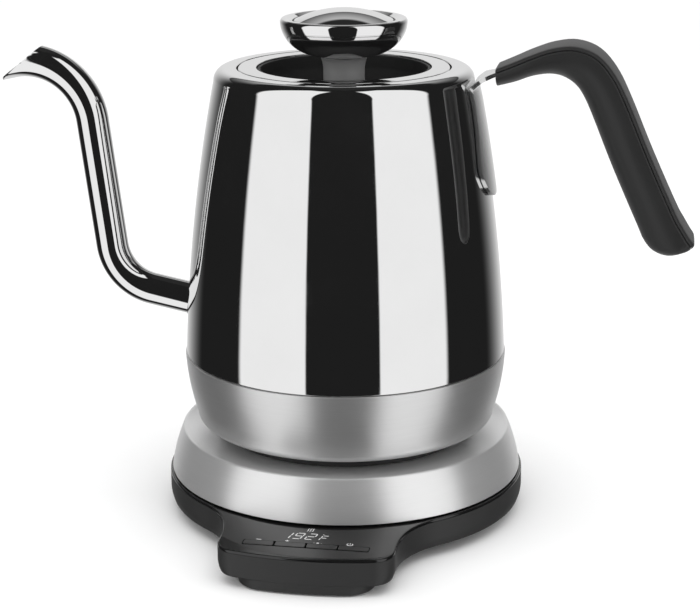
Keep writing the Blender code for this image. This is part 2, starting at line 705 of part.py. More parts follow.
def spout_path():
    root = Vector((-(BODY_RADIUS - SPOUT_ROOT_INSET), 0.0, SPOUT_ROOT_H - SPOUT_ROOT_FALL))
    low = Vector((-(BODY_RADIUS + SPOUT_LOW_REACH), 0.0, SPOUT_ROOT_H + SPOUT_LOW_RISE))
    high = Vector((-(BODY_RADIUS + SPOUT_HIGH_REACH), 0.0, TOP_H + SPOUT_HIGH_RISE))
    tip = high + Vector((-SPOUT_TIP_RUN, 0.0, -SPOUT_TIP_FALL))
    return rounded_path([root, low, high, tip], [SPOUT_LOW_BEND, SPOUT_HIGH_BEND])


def tube_mesh(name, points, radius, caps):
    """A round tube of facets along a path, as a welded mesh."""
    curve = bpy.data.curves.new(name + "_path", "CURVE")
    curve.dimensions = "3D"
    curve.bevel_depth = radius
    curve.bevel_resolution = TUBE_ROUNDNESS
    curve.use_fill_caps = caps
    spline = curve.splines.new("POLY")
    spline.points.add(len(points) - 1)
    for target, point in zip(spline.points, points):
        target.co = (*point, 1.0)
    carrier = bpy.data.objects.new(name + "_carrier", curve)
    PARTS.objects.link(carrier)
    graph = bpy.context.evaluated_depsgraph_get()
    mesh = bpy.data.meshes.new_from_object(carrier.evaluated_get(graph))
    bpy.data.objects.remove(carrier, do_unlink=True)
    bpy.data.curves.remove(curve)
    bm = bmesh.new()
    bm.from_mesh(mesh)
    bpy.data.meshes.remove(mesh)
    bmesh.ops.remove_doubles(bm, verts=bm.verts, dist=MERGE)
    bmesh.ops.recalc_face_normals(bm, faces=bm.faces)
    return mesh_of(name, bm)


def spout_hole_cutter(kettle):
    """The round hole in the vessel's wall that the spout's root goes through."""
    root, following = spout_path()[:2]
    along = (following - root).normalized()
    points = [root - along * SPOUT_HOLE_REACH, root + along * SPOUT_HOLE_REACH]
    return cutter("spout_hole", tube_mesh("spout_hole", points, SPOUT_RADIUS + GAP, True), kettle)


def add_spout(kettle):
    spout = new_part("spout", tube_mesh("spout", spout_path(), SPOUT_RADIUS, False), POLISHED, kettle)
    shell = spout.modifiers.new("wall", "SOLIDIFY")
    shell.thickness = SPOUT_WALL
    shell.offset = -1.0
    shell.use_even_offset = True
    top = Vector((-(BODY_RADIUS + BEAK_TOP_REACH), 0.0, TOP_H + BEAK_TOP_RISE))
    tip = Vector((-(BODY_RADIUS + BEAK_TIP_REACH), 0.0, TOP_H - BEAK_TIP_DROP))
    along = (tip - top).normalized()
    outward = Vector((along.z, 0.0, -along.x))
    centre = (top + tip) / 2.0 + outward * (BEAK_CUTTER / 2.0)
    pitch = math.atan2(outward.x, outward.z)
    slab = box_mesh("beak_cut", (BEAK_CUTTER, BEAK_CUTTER, BEAK_CUTTER))
    cut(spout, cutter("beak_cut", slab, kettle, centre, (0.0, pitch, 0.0)))


# ---------------------------------------------------------------- handle

def add_strap(kettle):
    """One bent sheet: a pad that follows the body's round wall, and a tang into the grip."""
    rows = []
    for drop, half_width in PAD_ROWS:
        radius = body_radius(TOP_H - drop) + GAP
        rows.append((radius, TOP_H - drop, half_width, 1.0))
    for reach, rise, half_width in TANG_ROWS:
        rows.append((GRIP_FRONT + reach, TOP_H + rise, half_width, 0.0))
    bm = bmesh.new()
    bmesh.ops.create_grid(bm, x_segments=STRAP_COLUMNS, y_segments=len(rows) - 1, size=0.5)
    for vert in bm.verts:
        column = vert.co.x * 2.0
        row = round((vert.co.y + 0.5) * (len(rows) - 1))
        radius, height, half_width, wrap = rows[row]
        across = column * half_width
        bent = math.sqrt(radius * radius - across * across)
        vert.co = (bent * wrap + radius * (1.0 - wrap), across, height)
    bmesh.ops.recalc_face_normals(bm, faces=bm.faces)
    strap = new_part("handle_strap", mesh_of("handle_strap", bm), STEEL, kettle)
    sheet = strap.modifiers.new("sheet", "SOLIDIFY")
    sheet.thickness = STRAP_T
    sheet.offset = 1.0
    sheet.use_even_offset = True
    return strap


def grip_station(index):
    """Inner and outer edge of one station of the grip, in the plane of the handle."""
    inner_x, inner_z, outer_x, outer_z = GRIP_STATIONS[index]
    inner = Vector((GRIP_FRONT + inner_x * MM, 0.0, TOP_H + inner_z * MM))
    outer = Vector((GRIP_FRONT + outer_x * MM, 0.0, TOP_H + outer_z * MM))
    return inner, outer


def grip_section(index, shape):
    """Section points of one station. The shape gives (depth from the outer face, half width)
    pairs from one edge round the inner side; depths past the thickness stop at it."""
    inner, outer = grip_station(index)
    thickness = (outer - inner).length
    inward = (inner - outer).normalized()
    half = GRIP_WIDTH / 2.0 * GRIP_END_WIDTHS.get(index, 1.0)
    ring = []
    for depth, across in shape(thickness, half):
        ring.append(outer + inward * depth + Vector((0.0, across, 0.0)))
    return ring


def shell_shape(thickness, half):
    """Grip under its cover: straight upper sides and a round inner side."""
    face = GRIP_COVER_T + GAP
    side = min(GRIP_SIDE_SHARE * thickness, face + GRIP_SIDE)
    points = [(face, half - GRIP_DRAFT)]
    for angle in GRIP_ROUND:
        depth = side + (thickness - side) * math.sin(math.radians(angle))
        points.append((depth, half * math.cos(math.radians(angle))))
    mirrored = [(depth, -across) for depth, across in reversed(points[:-1])]
    return points + mirrored


def cover_shape(thickness, half):
    """Strip that forms the grip's flat outer face."""
    edge = half - GRIP_DRAFT
    points = [(0.0, edge - GRIP_EDGE), (GRIP_EDGE_FALL, edge - GRIP_EDGE_TUCK), (GRIP_COVER_T, edge)]
    mirrored = [(depth, -across) for depth, across in reversed(points)]
    return points + mirrored


def add_grip(kettle):
    stations = range(len(GRIP_STATIONS))
    shell = loft("grip_shell", SATIN_BLACK, [grip_section(i, shell_shape) for i in stations],
                 False, kettle)
    cover = loft("grip_cover", SATIN_BLACK, [grip_section(i, cover_shape) for i in stations],
                 False, kettle)
    groove = tang_groove(kettle)
    cut(shell, groove)
    cut(cover, groove)
    strap = add_strap(kettle)
    add_counterweight(kettle, shell)
    add_grip_screws(kettle, shell, strap)


def tang_groove(kettle):
    """Room for the tang between the two halves of the grip."""
    rings = []
    for reach, rise, half_width in TANG_ROWS[1:]:
        centre = Vector((GRIP_FRONT + reach, 0.0, TOP_H + rise - STRAP_T / 2.0))
        across = half_width + GAP
        depth = STRAP_T / 2.0 + 2.0 * GAP
        rings.append([centre + Vector((0.0, -across, -depth)), centre + Vector((0.0, across, -depth)),
                      centre + Vector((0.0, across, depth)), centre + Vector((0.0, -across, depth))])
    end = Vector((2.0 * GAP, 0.0, GAP))
    rings.append([point + end for point in rings[-1]])
    return cutter("tang_groove", loft_mesh("tang_groove", rings, False), kettle)


def add_counterweight(kettle, shell):
    """Steel bar in a pocket of the grip's lower half, so that the kettle balances when poured."""
    first_inner, first_outer = grip_station(WEIGHT_STATION)
    second_outer = grip_station(WEIGHT_STATION + 1)[1]
    along = (second_outer - first_outer).normalized()
    inward = Vector((along.z, 0.0, -along.x))
    pitch = math.atan2(along.x, along.z)
    depth = GRIP_COVER_T + 2.0 * GAP + WEIGHT_T / 2.0
    centre = (first_outer + second_outer) / 2.0 + inward * depth
    bar = new_part("counterweight", box_mesh("counterweight", (WEIGHT_T, WEIGHT_WIDTH, WEIGHT_LENGTH)),
                   STEEL, kettle, centre)
    bar.rotation_euler = (0.0, pitch, 0.0)
    room = 4.0 * GAP
    pocket = box_mesh("weight_pocket", (WEIGHT_T + room, WEIGHT_WIDTH + room, WEIGHT_LENGTH + room))
    cut(shell, cutter("weight_pocket", pocket, kettle, centre, (0.0, pitch, 0.0)))


def add_grip_screws(kettle, shell, strap):
    """Screws from under the grip through its tang."""
    for number, row in enumerate(GRIP_SCREW_ROWS, 1):
        reach, rise = TANG_ROWS[row][:2]
        spot = (GRIP_FRONT + reach, 0.0)
        low = TOP_H + rise - GRIP_SCREW_DROP
        seat = low + SCREW_HEAD_T + GAP
        recess = cylinder_cutter(f"grip_screw_recess_{number}", GRIP_SCREW_HEAD + GAP,
                                 low - 4.0 * CUT_OVER, seat, [spot], kettle, STEPS_HOLE)
        hole = cylinder_cutter(f"grip_screw_hole_{number}", GRIP_SCREW_SHANK + GAP,
                               seat - GAP, low + GRIP_SCREW_LENGTH + GAP, [spot], kettle,
                               STEPS_HOLE)
        cut(shell, recess)
        cut(shell, hole)
        cut(strap, hole)
        turned(f"grip_screw_{number}", STEEL, [[
            (0.0, GRIP_SCREW_LENGTH), (GRIP_SCREW_SHANK, GRIP_SCREW_LENGTH),
            (GRIP_SCREW_SHANK, SCREW_HEAD_T), (GRIP_SCREW_HEAD, SCREW_HEAD_T),
            (GRIP_SCREW_HEAD, 0.0), (0.0, 0.0),
        ]], STEPS_SMALL, kettle, (spot[0], spot[1], low))


# ---------------------------------------------------------------- lid and flow knob

def add_lid(lid):
    """Lid pieces. Heights are from the body's flat top, downwards negative."""
    outer = NECK_RADIUS - GAP
    recess = NECK_RADIUS - LID_RIM
    ledge = -NECK_DEPTH
    gasket_top = ledge + GAP + GASKET_T
    ring_low = gasket_top + GAP
    turned("lid_ring", POLISHED, [[
        (recess, 0.0), (outer - LID_CHAMFER, 0.0), (outer, -LID_CHAMFER), (outer, ring_low),
        (outer - LID_WALL, ring_low), (outer - LID_WALL, -LID_WALL),
        (recess + LID_WALL, -LID_WALL), (recess + LID_WALL, -LID_LIP), (recess, -LID_LIP),
    ]], parent=lid)

    plug = LEDGE_RADIUS - RUNNING
    turned("lid_gasket", SILICONE, [[
        (plug + GAP, gasket_top), (outer - GAP, gasket_top),
        (outer - GAP, ledge + GAP), (plug + GAP, ledge + GAP),
    ]], parent=lid)

    shaft_hole = SHAFT_RADIUS + RUNNING
    flange = outer - LID_WALL - GAP
    flange_in = recess + LID_WALL
    flange_low = -PLUG_FLANGE_DROP - PLUG_WALL
    plug_in = plug - PLUG_WALL
    floor = -PLUG_DEPTH + PLUG_WALL
    lid_plug = turned("lid_plug", SATIN_BLACK, [[
        (flange_in, -PLUG_FLANGE_DROP), (flange, -PLUG_FLANGE_DROP), (flange, flange_low),
        (plug, flange_low), (plug, -PLUG_DEPTH), (shaft_hole, -PLUG_DEPTH),
        (shaft_hole, floor), (plug_in, floor), (plug_in, flange_low), (flange_in, flange_low),
    ]], parent=lid)
    hole_circle = PLUG_HOLE_CIRCLE * plug_in
    spots = circle_spots(hole_circle, PLUG_HOLES, 90.0)
    cut(lid_plug, cylinder_cutter("plug_holes", PLUG_HOLE_RADIUS, -PLUG_DEPTH - CUT_OVER,
                                  floor + CUT_OVER_SMALL, spots, lid, STEPS_HOLE))
    add_lid_bowl(lid, recess - GAP, shaft_hole)
    seal_top = -LID_BOWL_DEPTH - LID_BOWL_WALL - GAP
    seal_in = SHAFT_RADIUS + GAP
    turned("stem_seal", SILICONE, [[
        (seal_in, seal_top), (seal_in + SEAL_WIDTH, seal_top),
        (seal_in + SEAL_WIDTH, seal_top - SEAL_T), (seal_in, seal_top - SEAL_T),
    ]], STEPS_MEDIUM, lid)
    return plug_in, floor, hole_circle


def add_lid_bowl(lid, outer, shaft_hole):
    """The black recess that the knob's stem stands in."""
    rim = -2.0 * GAP
    straight = -LID_BOWL_DEPTH * LID_BOWL_STRAIGHT
    foot = outer - LID_BOWL_TAPER
    floor = -LID_BOWL_DEPTH
    corner = LID_BOWL_CORNER
    inner_corner = corner - LID_BOWL_WALL
    outside = arc((foot - corner, floor - LID_BOWL_WALL + corner), corner, 0.0, -90.0, 3)
    inside = arc((foot - corner, floor + inner_corner), inner_corner, -90.0, 0.0, 3)
    profile = [(outer - LID_BOWL_WALL, rim), (outer, rim), (outer, straight)]
    profile += outside
    profile += [(shaft_hole, floor - LID_BOWL_WALL), (shaft_hole, floor)]
    profile += inside
    profile += [(outer - LID_BOWL_WALL, straight)]
    turned("lid_bowl", SATIN_BLACK, [profile], parent=lid)


def add_knob(knob, plug_in, plug_floor, hole_circle):
    """Flow knob: stem, bowl and cap on top, and the disc it turns under the lid."""
    disc_low = plug_floor + RUNNING
    disc_top = disc_low + FLOW_DISC_T
    hub = SHAFT_TIP_RADIUS + GAP
    disc_r = plug_in - FLOW_DISC_MARGIN
    disc = turned("flow_disc", SATIN_BLACK, [[
        (hub, disc_top), (disc_r, disc_top), (disc_r, disc_low), (hub, disc_low),
    ]], parent=knob)
    spots = circle_spots(hole_circle, FLOW_DISC_HOLES, 90.0)
    cut(disc, cylinder_cutter("disc_holes", PLUG_HOLE_RADIUS, disc_low - CUT_OVER_SMALL,
                              disc_top + CUT_OVER, spots, knob, STEPS_HOLE))

    stem_low = -LID_BOWL_DEPTH + RUNNING
    shaft_low = disc_top + GAP
    tip_low = disc_low - GAP
    bore = KNOB_SCREW_SHANK + GAP
    bore_top = tip_low + KNOB_SCREW_LENGTH
    flare = arc((STEM_RADIUS + STEM_FLARE_RADIUS, STEM_TOP - STEM_FLARE_DROP),
                STEM_FLARE_RADIUS, STEM_FLARE_TURN, 180.0, 3)
    turned("knob_stem", GREY_SATIN, [[
        (0.0, STEM_TOP), (STEM_RADIUS + STEM_FLARE, STEM_TOP),
    ] + flare + [
        (STEM_RADIUS, stem_low), (SHAFT_RADIUS, stem_low), (SHAFT_RADIUS, shaft_low),
        (SHAFT_TIP_RADIUS, shaft_low), (SHAFT_TIP_RADIUS, tip_low), (bore, tip_low),
        (bore, bore_top), (0.0, bore_top),
    ]], STEPS_MEDIUM, knob)
    add_screws("knob_screw", [(0.0, 0.0)], tip_low - GAP - SCREW_HEAD_T, KNOB_SCREW_LENGTH,
               KNOB_SCREW_SHANK, KNOB_SCREW_HEAD, SCREW_HEAD_T, knob)

    waist = STEM_RADIUS + STEM_FLARE
    belly = []
    for angle in KNOB_BELLY:
        radius = waist + (KNOB_RADIUS - waist) * math.cos(math.radians(angle))
        z = KNOB_RIM - (KNOB_RIM - KNOB_BOTTOM) * math.sin(math.radians(angle))
        belly.append((radius, z))
    seat_r = KNOB_CAP_RADIUS + KNOB_CAP_GROOVE
    seat_z = KNOB_CAP_EDGE - KNOB_CAP_T
    turned("knob_bowl", POLISHED, [[
        (0.0, KNOB_BOTTOM + KNOB_WALL), (waist, KNOB_BOTTOM + KNOB_WALL),
        (seat_r, seat_z - GAP), (seat_r, KNOB_CAP_EDGE),
        (KNOB_RADIUS - KNOB_LIP_INSET, KNOB_RIM + KNOB_LIP_RISE),
        (KNOB_RADIUS - KNOB_EDGE_INSET, KNOB_RIM + KNOB_EDGE_RISE),
    ] + belly + [(0.0, KNOB_BOTTOM)]], STEPS_LARGE, knob)

    rise = KNOB_CAP_TOP - KNOB_CAP_EDGE
    dome = (KNOB_CAP_RADIUS * KNOB_CAP_RADIUS + rise * rise) / (2.0 * rise)
    spread = math.degrees(math.asin(KNOB_CAP_RADIUS / dome))
    top = arc((0.0, KNOB_CAP_TOP - dome), dome, 90.0, 90.0 - spread, 5)
    top[0] = (0.0, KNOB_CAP_TOP)
    turned("knob_cap", POLISHED, [top + [
        (KNOB_CAP_RADIUS, seat_z), (0.0, seat_z),
    ]], STEPS_LARGE, knob)


# ---------------------------------------------------------------- base

def base_outline(radius, half_width, front, corner, fillet, inset=0.0):
    """Outline seen from above, counter-clockwise from the nose's front: a circle with a nose
    along -Y, made of arcs and straight flanks. The inset moves every point inwards."""
    ring = radius - inset
    width = half_width - inset
    crown = NOSE_CROWN - inset
    tip = corner - inset
    hollow = fillet + inset
    hollow_x = width + hollow
    hollow_y = -math.sqrt((ring + hollow) ** 2 - hollow_x ** 2)
    crown_y = crown - (front - inset)
    tip_x = width - tip
    tip_y = crown_y - math.sqrt((crown - tip) ** 2 - tip_x ** 2)
    tip_angle = math.degrees(math.atan2(tip_y - crown_y, tip_x))
    join_angle = math.degrees(math.atan2(hollow_y, hollow_x))
    right = arc((0.0, crown_y), crown, -90.0, tip_angle, 2)
    right += arc((tip_x, tip_y), tip, tip_angle, 0.0, 3)[1:]
    right += arc((hollow_x, hollow_y), hollow, 180.0, 180.0 + join_angle, 4)
    right += arc((0.0, 0.0), ring, join_angle, 90.0, 11)[1:]
    left = [(-x, y) for x, y in reversed(right[1:-1])]
    return right + left


def nose_outline(inset=0.0):
    return base_outline(HOUSING_RADIUS, NOSE_HALF_WIDTH, NOSE_FRONT, NOSE_CORNER,
                        NOSE_FILLET, inset)


def chin_outline(inset=0.0):
    return base_outline(HOUSING_RADIUS - CHIN_INSET, CHIN_HALF_WIDTH,
                        NOSE_FRONT - CHIN_FRONT_INSET, CHIN_CORNER, NOSE_FILLET + CHIN_INSET, inset)


def tuck_outline(inset=0.0):
    """Lower edge of the housing's wall: tucked in at the sides, flush at the nose's front."""
    return base_outline(HOUSING_RADIUS - HOUSING_TUCK, NOSE_HALF_WIDTH - HOUSING_TUCK,
                        NOSE_FRONT - CHIN_FRONT_INSET / 2.0, NOSE_CORNER,
                        NOSE_FILLET + HOUSING_TUCK, inset)


def nose_fall(y):
    """How far the nose's top has fallen at a given y."""
    hinge = HOUSING_RADIUS - NOSE_HINGE_INSET
    return NOSE_SLOPE * max(0.0, -y - hinge)


def level_ring(outline, z, sloped=False):
    return [(x, y, z - (nose_fall(y) if sloped else 0.0)) for x, y in outline]


def add_housing():
    wall = HOUSING_WALL
    rings = [
        level_ring(nose_outline(), HOUSING_TOP_Z, True),
        level_ring(nose_outline(), HOUSING_BELLY_Z),
        level_ring(tuck_outline(), HOUSING_TUCK_Z),
        level_ring(chin_outline(), CHIN_TOP_Z),
        level_ring(chin_outline(), CHIN_Z),
        level_ring(chin_outline(wall), CHIN_Z),
        level_ring(chin_outline(wall), CHIN_TOP_Z + HOUSING_SHELF_T),
        level_ring(tuck_outline(wall), HOUSING_TUCK_Z + HOUSING_SHELF_T),
        level_ring(nose_outline(wall), HOUSING_BELLY_Z),
        level_ring(nose_outline(wall), HOUSING_TOP_Z, True),
    ]
    housing = loft("base_housing", SATIN_BLACK, rings, True)
    size = (GLAND_WIDTH + 2.0 * GAP, GLAND_LENGTH + 4.0 * CUT_OVER, GLAND_HEIGHT + 2.0 * GAP)
    opening = cutter("gland_opening", box_mesh("gland_opening", size), None,
                     (0.0, HOUSING_RADIUS, GLAND_Z))
    cut(housing, opening)


def add_gland():
    """Sleeve at the back of the base that the mains cord comes through."""
    at = (0.0, HOUSING_RADIUS - GLAND_SINK, GLAND_Z)
    size = (GLAND_WIDTH, GLAND_LENGTH, GLAND_HEIGHT)
    gland = new_part("cord_gland", box_mesh("cord_gland", size, GLAND_ROUNDING), RUBBER, None, at)
    bore = (GLAND_BORE_WIDTH, GLAND_LENGTH + CUT_OVER, GLAND_BORE_HEIGHT)
    cut(gland, cutter("gland_bore", box_mesh("gland_bore", bore), None, at))


def add_panel():
    """Gloss top: a thin trim round the steel cover that widens into the nose's control panel."""
    low = HOUSING_TOP_Z + GAP
    hole = HOUSING_RADIUS - PANEL_HOLE_INSET
    outline = nose_outline(PANEL_TRIM)
    circle = []
    for x, y in outline:
        angle = math.atan2(y, x)
        circle.append((hole * math.cos(angle), hole * math.sin(angle)))
    panel = loft("control_panel", GLOSS_BLACK, [
        level_ring(outline, low, True), level_ring(circle, low),
        level_ring(circle, PANEL_Z), level_ring(outline, PANEL_Z, True),
    ], True)
    row = key_row_width() + 2.0 * GAP
    slot = box_mesh("key_slot", (row, KEY_DEPTH + 2.0 * GAP, KEY_SLOT_H))
    cut(panel, cutter("key_slot", slot, None, (0.0, key_row_y(), PANEL_Z)))


def key_row_width():
    return len(KEY_NAMES) * KEY_WIDTH + (len(KEY_NAMES) - 1) * KEY_SPACING


def key_row_y():
    return KEY_INSET - NOSE_FRONT


def key_spot(index):
    pitch = KEY_WIDTH + KEY_SPACING
    return (index - (len(KEY_NAMES) - 1) / 2.0) * pitch, key_row_y()


def key_underside():
    return PANEL_Z - nose_fall(key_row_y()) + KEY_PROUD - KEY_CAP_T


def add_keys():
    """Flat keys with a plunger each; their tops follow the panel's slope."""
    for index, name in enumerate(KEY_NAMES):
        x, y = key_spot(index)
        bm = bmesh.new()
        bmesh.ops.create_cube(bm, size=1.0)
        bmesh.ops.scale(bm, vec=Vector((KEY_WIDTH, KEY_DEPTH, KEY_CAP_T)), verts=bm.verts)
        bmesh.ops.translate(bm, vec=(0.0, 0.0, KEY_CAP_T / 2.0), verts=bm.verts)
        top_edges = [edge for edge in bm.edges if all(vert.co.z > 0.0 for vert in edge.verts)]
        bmesh.ops.bevel(bm, geom=top_edges, offset=KEY_ROUNDING, segments=1, profile=0.5,
                        affect="EDGES", material=-1)
        under = [face for face in bm.faces if face.calc_center_median().z < GAP / 2.0]
        bmesh.ops.inset_region(bm, faces=under, thickness=KEY_PLUNGER_INSET, use_even_offset=True)
        made = bmesh.ops.extrude_face_region(bm, geom=under)
        fresh = [item for item in made["geom"] if isinstance(item, bmesh.types.BMVert)]
        bmesh.ops.translate(bm, vec=(0.0, 0.0, -KEY_PLUNGER), verts=fresh)
        bmesh.ops.delete(bm, geom=under, context="FACES")
        for vert in bm.verts:
            if vert.co.z > 0.0:
                vert.co.z += NOSE_SLOPE * vert.co.y
        bmesh.ops.recalc_face_normals(bm, faces=bm.faces)
        new_part(name, mesh_of(name, bm), GLOSS_BLACK, None, (x, y, key_underside()))


def add_controls():
    """Switch domes, control board and display under the panel."""
    dome_top = key_underside() - KEY_PLUNGER - KEY_TRAVEL - DOME_AIR
    dome_low = dome_top - DOME_T
    flat, fall = DOME_CROWN
    for index in range(len(KEY_NAMES)):
        x, y = key_spot(index)
        turned(f"dome_switch_{index + 1}", STEEL, [[
            (0.0, dome_top), (flat * DOME_RADIUS, dome_top - fall * DOME_T),
            (DOME_RADIUS, dome_low), (0.0, dome_low),
        ]], STEPS_SMALL, None, (x, y, 0.0))
    board_y = CONTROL_BOARD_INSET - NOSE_FRONT
    board_z = dome_low - GAP - CONTROL_BOARD_T / 2.0
    board_width = 2.0 * (NOSE_HALF_WIDTH - HOUSING_WALL - CONTROL_BOARD_MARGIN)
    board_size = (board_width, CONTROL_BOARD_DEPTH, CONTROL_BOARD_T)
    new_part("control_board", box_mesh("control_board", board_size), BOARD_GREEN, None,
             (0.0, board_y, board_z))
    display_y = DISPLAY_INSET - NOSE_FRONT
    front_y = display_y - DISPLAY_SIZE[1] / 2.0
    display_top = HOUSING_TOP_Z + GAP - nose_fall(front_y) - 2.0 * GAP
    new_part("display_module", box_mesh("display_module", DISPLAY_SIZE), GLOSS_BLACK, None,
             (0.0, display_y, display_top - DISPLAY_SIZE[2] / 2.0))


def add_base_cover():
    """Brushed cover: a slightly bowed conical wall with a shallow dish inside its crest."""
    hole = POST_COLLAR + RUNNING
    shoulder = CREST_RADIUS - COVER_LIP
    edge_z = CREST_Z - COVER_EDGE_FALL
    rows = 4
    outer = [(hole, DISH_Z), (DISH_RADIUS, DISH_Z)]
    outer += [((DISH_RADIUS + shoulder) / 2.0, DISH_Z + DISH_CURVE * (CREST_Z - DISH_Z))]
    outer += [(shoulder, CREST_Z), (CREST_RADIUS - COVER_EDGE, CREST_Z)]
    wall = []
    for row in range(rows + 1):
        share = row / rows
        z = edge_z + (BASE_EDGE_Z - edge_z) * share
        bow = 4.0 * COVER_BOW * share * (1.0 - share)
        wall.append((CREST_RADIUS + CREST_INSET * share + bow, z))
    inner = [(radius - COVER_WALL, z) for radius, z in reversed(wall[1:])]
    inner += [(CREST_RADIUS - COVER_WALL, CREST_Z - COVER_WALL)]
    inner += [(shoulder - COVER_EDGE, CREST_Z - COVER_WALL)]
    inner += [(DISH_RADIUS, DISH_Z - COVER_WALL), (hole, DISH_Z - COVER_WALL)]
    turned("base_cover", BRUSHED, [outer + wall + inner])


def add_base_connector():
    """Centre post that carries the power contacts, standing on the cover's support."""
    cover_low = DISH_Z - COVER_WALL
    flange_top = cover_low - GAP
    flange_low = flange_top - POST_FLANGE_T
    post_top = KETTLE_Z + POST_RISE
    collar_top = DISH_Z + POST_COLLAR_RISE
    level = KETTLE_Z + CONTACT_H
    half = CONTACT_HEIGHT / 2.0 + GAP
    ring_in = POST_RADIUS - CONTACT_SINK - CONTACT_WALL
    groove = ring_in - GAP
    stub_low = flange_low - POST_STUB_DROP
    turned("base_connector", SATIN_BLACK, [[
        (0.0, post_top), (POST_RADIUS - POST_CHAMFER, post_top), (POST_RADIUS, post_top - POST_CHAMFER),
        (POST_RADIUS, level + half), (groove, level + half), (groove, level - half),
        (POST_RADIUS, level - half), (POST_RADIUS, collar_top), (POST_COLLAR, collar_top),
        (POST_COLLAR, flange_top), (POST_FLANGE, flange_top), (POST_FLANGE, flange_low),
        (POST_STUB, flange_low), (POST_STUB, stub_low), (0.0, stub_low),
    ]], STEPS_MEDIUM)
    turned("base_contact", BRASS, [contact_ring(ring_in, level)], STEPS_MEDIUM)

    top = cover_low - GAP
    shelf = flange_low - GAP
    low = PLATE_Z + PLATE_T + GAP
    bore = POST_STUB + RUNNING
    wall_out = SUPPORT_WALL_RADIUS + SUPPORT_WALL / 2.0
    wall_in = SUPPORT_WALL_RADIUS - SUPPORT_WALL / 2.0
    turned("cover_support", SATIN_BLACK, [[
        (POST_FLANGE + RUNNING, top), (SUPPORT_RADIUS, top), (SUPPORT_RADIUS, top - SUPPORT_T),
        (wall_out, top - SUPPORT_T), (wall_out, low), (wall_in, low),
        (wall_in, shelf - SUPPORT_T), (bore, shelf - SUPPORT_T), (bore, shelf),
        (POST_FLANGE + RUNNING, shelf),
    ]])


def add_bottom_plate():
    outline = chin_outline(HOUSING_WALL + GAP)
    plate = loft("base_bottom_plate", SATIN_BLACK, [
        level_ring(outline, PLATE_Z), level_ring(outline, PLATE_Z + PLATE_T),
    ], False)
    foot_spots = [
        (FOOT_REAR[0], FOOT_REAR[1]), (-FOOT_REAR[0], FOOT_REAR[1]),
        (FOOT_FRONT_X, FOOT_FRONT_INSET - NOSE_FRONT), (-FOOT_FRONT_X, FOOT_FRONT_INSET - NOSE_FRONT),
    ]
    foot_names = ("foot_rear_right", "foot_rear_left", "foot_front_right", "foot_front_left")
    over = PLATE_Z + PLATE_T + CUT_OVER
    cut(plate, cylinder_cutter("foot_holes", FOOT_STUD + GAP, -CUT_OVER, over, foot_spots, None,
                              STEPS_HOLE))
    for name, spot in zip(foot_names, foot_spots):
        turned(name, RUBBER, [[
            (0.0, FOOT_T + FOOT_STUD_RISE), (FOOT_STUD, FOOT_T + FOOT_STUD_RISE),
            (FOOT_STUD, FOOT_T), (FOOT_RADIUS, FOOT_T), (FOOT_RADIUS, 0.0), (0.0, 0.0),
        ]], STEPS_SMALL, None, (spot[0], spot[1], 0.0))

    screw_spots = circle_spots(BASE_SCREW_CIRCLE, BASE_SCREWS)
    head_low = PLATE_Z + BASE_SCREW_SINK
    seat = head_low + BASE_SCREW_HEAD_T + GAP
    cut(plate, cylinder_cutter("screw_recess", SCREW_HEAD + GAP, -CUT_OVER, seat,
                               screw_spots, None, STEPS_HOLE))
    cut(plate, cylinder_cutter("screw_holes", SCREW_SHANK + GAP, -CUT_OVER, over,
                               screw_spots, None, STEPS_HOLE))
    add_screws("base_screw", screw_spots, head_low, BASE_SCREW_LENGTH,
               SCREW_SHANK, SCREW_HEAD, BASE_SCREW_HEAD_T)


def add_base():
    add_base_cover()
    add_housing()
    add_gland()
    add_panel()
    add_keys()
    add_controls()
    add_base_connector()
    add_bottom_plate()
    new_part("power_board", box_mesh("power_board", POWER_BOARD), BOARD_GREEN, None,
             (0.0, 0.0, POWER_BOARD_Z + POWER_BOARD[2] / 2.0))


# ---------------------------------------------------------------- assembly

def add_kettle(kettle):
    add_vessel(kettle)
    add_lower_band(kettle)
    add_heater(kettle)
    add_probe(kettle)
    add_vessel_seal(kettle)
    add_bottom_cover(kettle)
    add_spout(kettle)
    add_grip(kettle)


def main():
    add_base()
    socket_axis = joint_empty("socket_axis", None, (0.0, 0.0, KETTLE_Z))
    add_socket(socket_axis)
    kettle_axis = joint_empty("kettle_axis", socket_axis, (0.0, 0.0, 0.0))
    add_kettle(kettle_axis)
    lid_axis = joint_empty("lid_axis", kettle_axis, (0.0, 0.0, TOP_H))
    plug_in, plug_floor, hole_circle = add_lid(lid_axis)
    knob_axis = joint_empty("knob_axis", lid_axis, (0.0, 0.0, 0.0))
    add_knob(knob_axis, plug_in, plug_floor, hole_circle)
    bpy.context.view_layer.update()


main()
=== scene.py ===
import json
import math

import bmesh
import bpy
from mathutils import Euler, Matrix, Vector


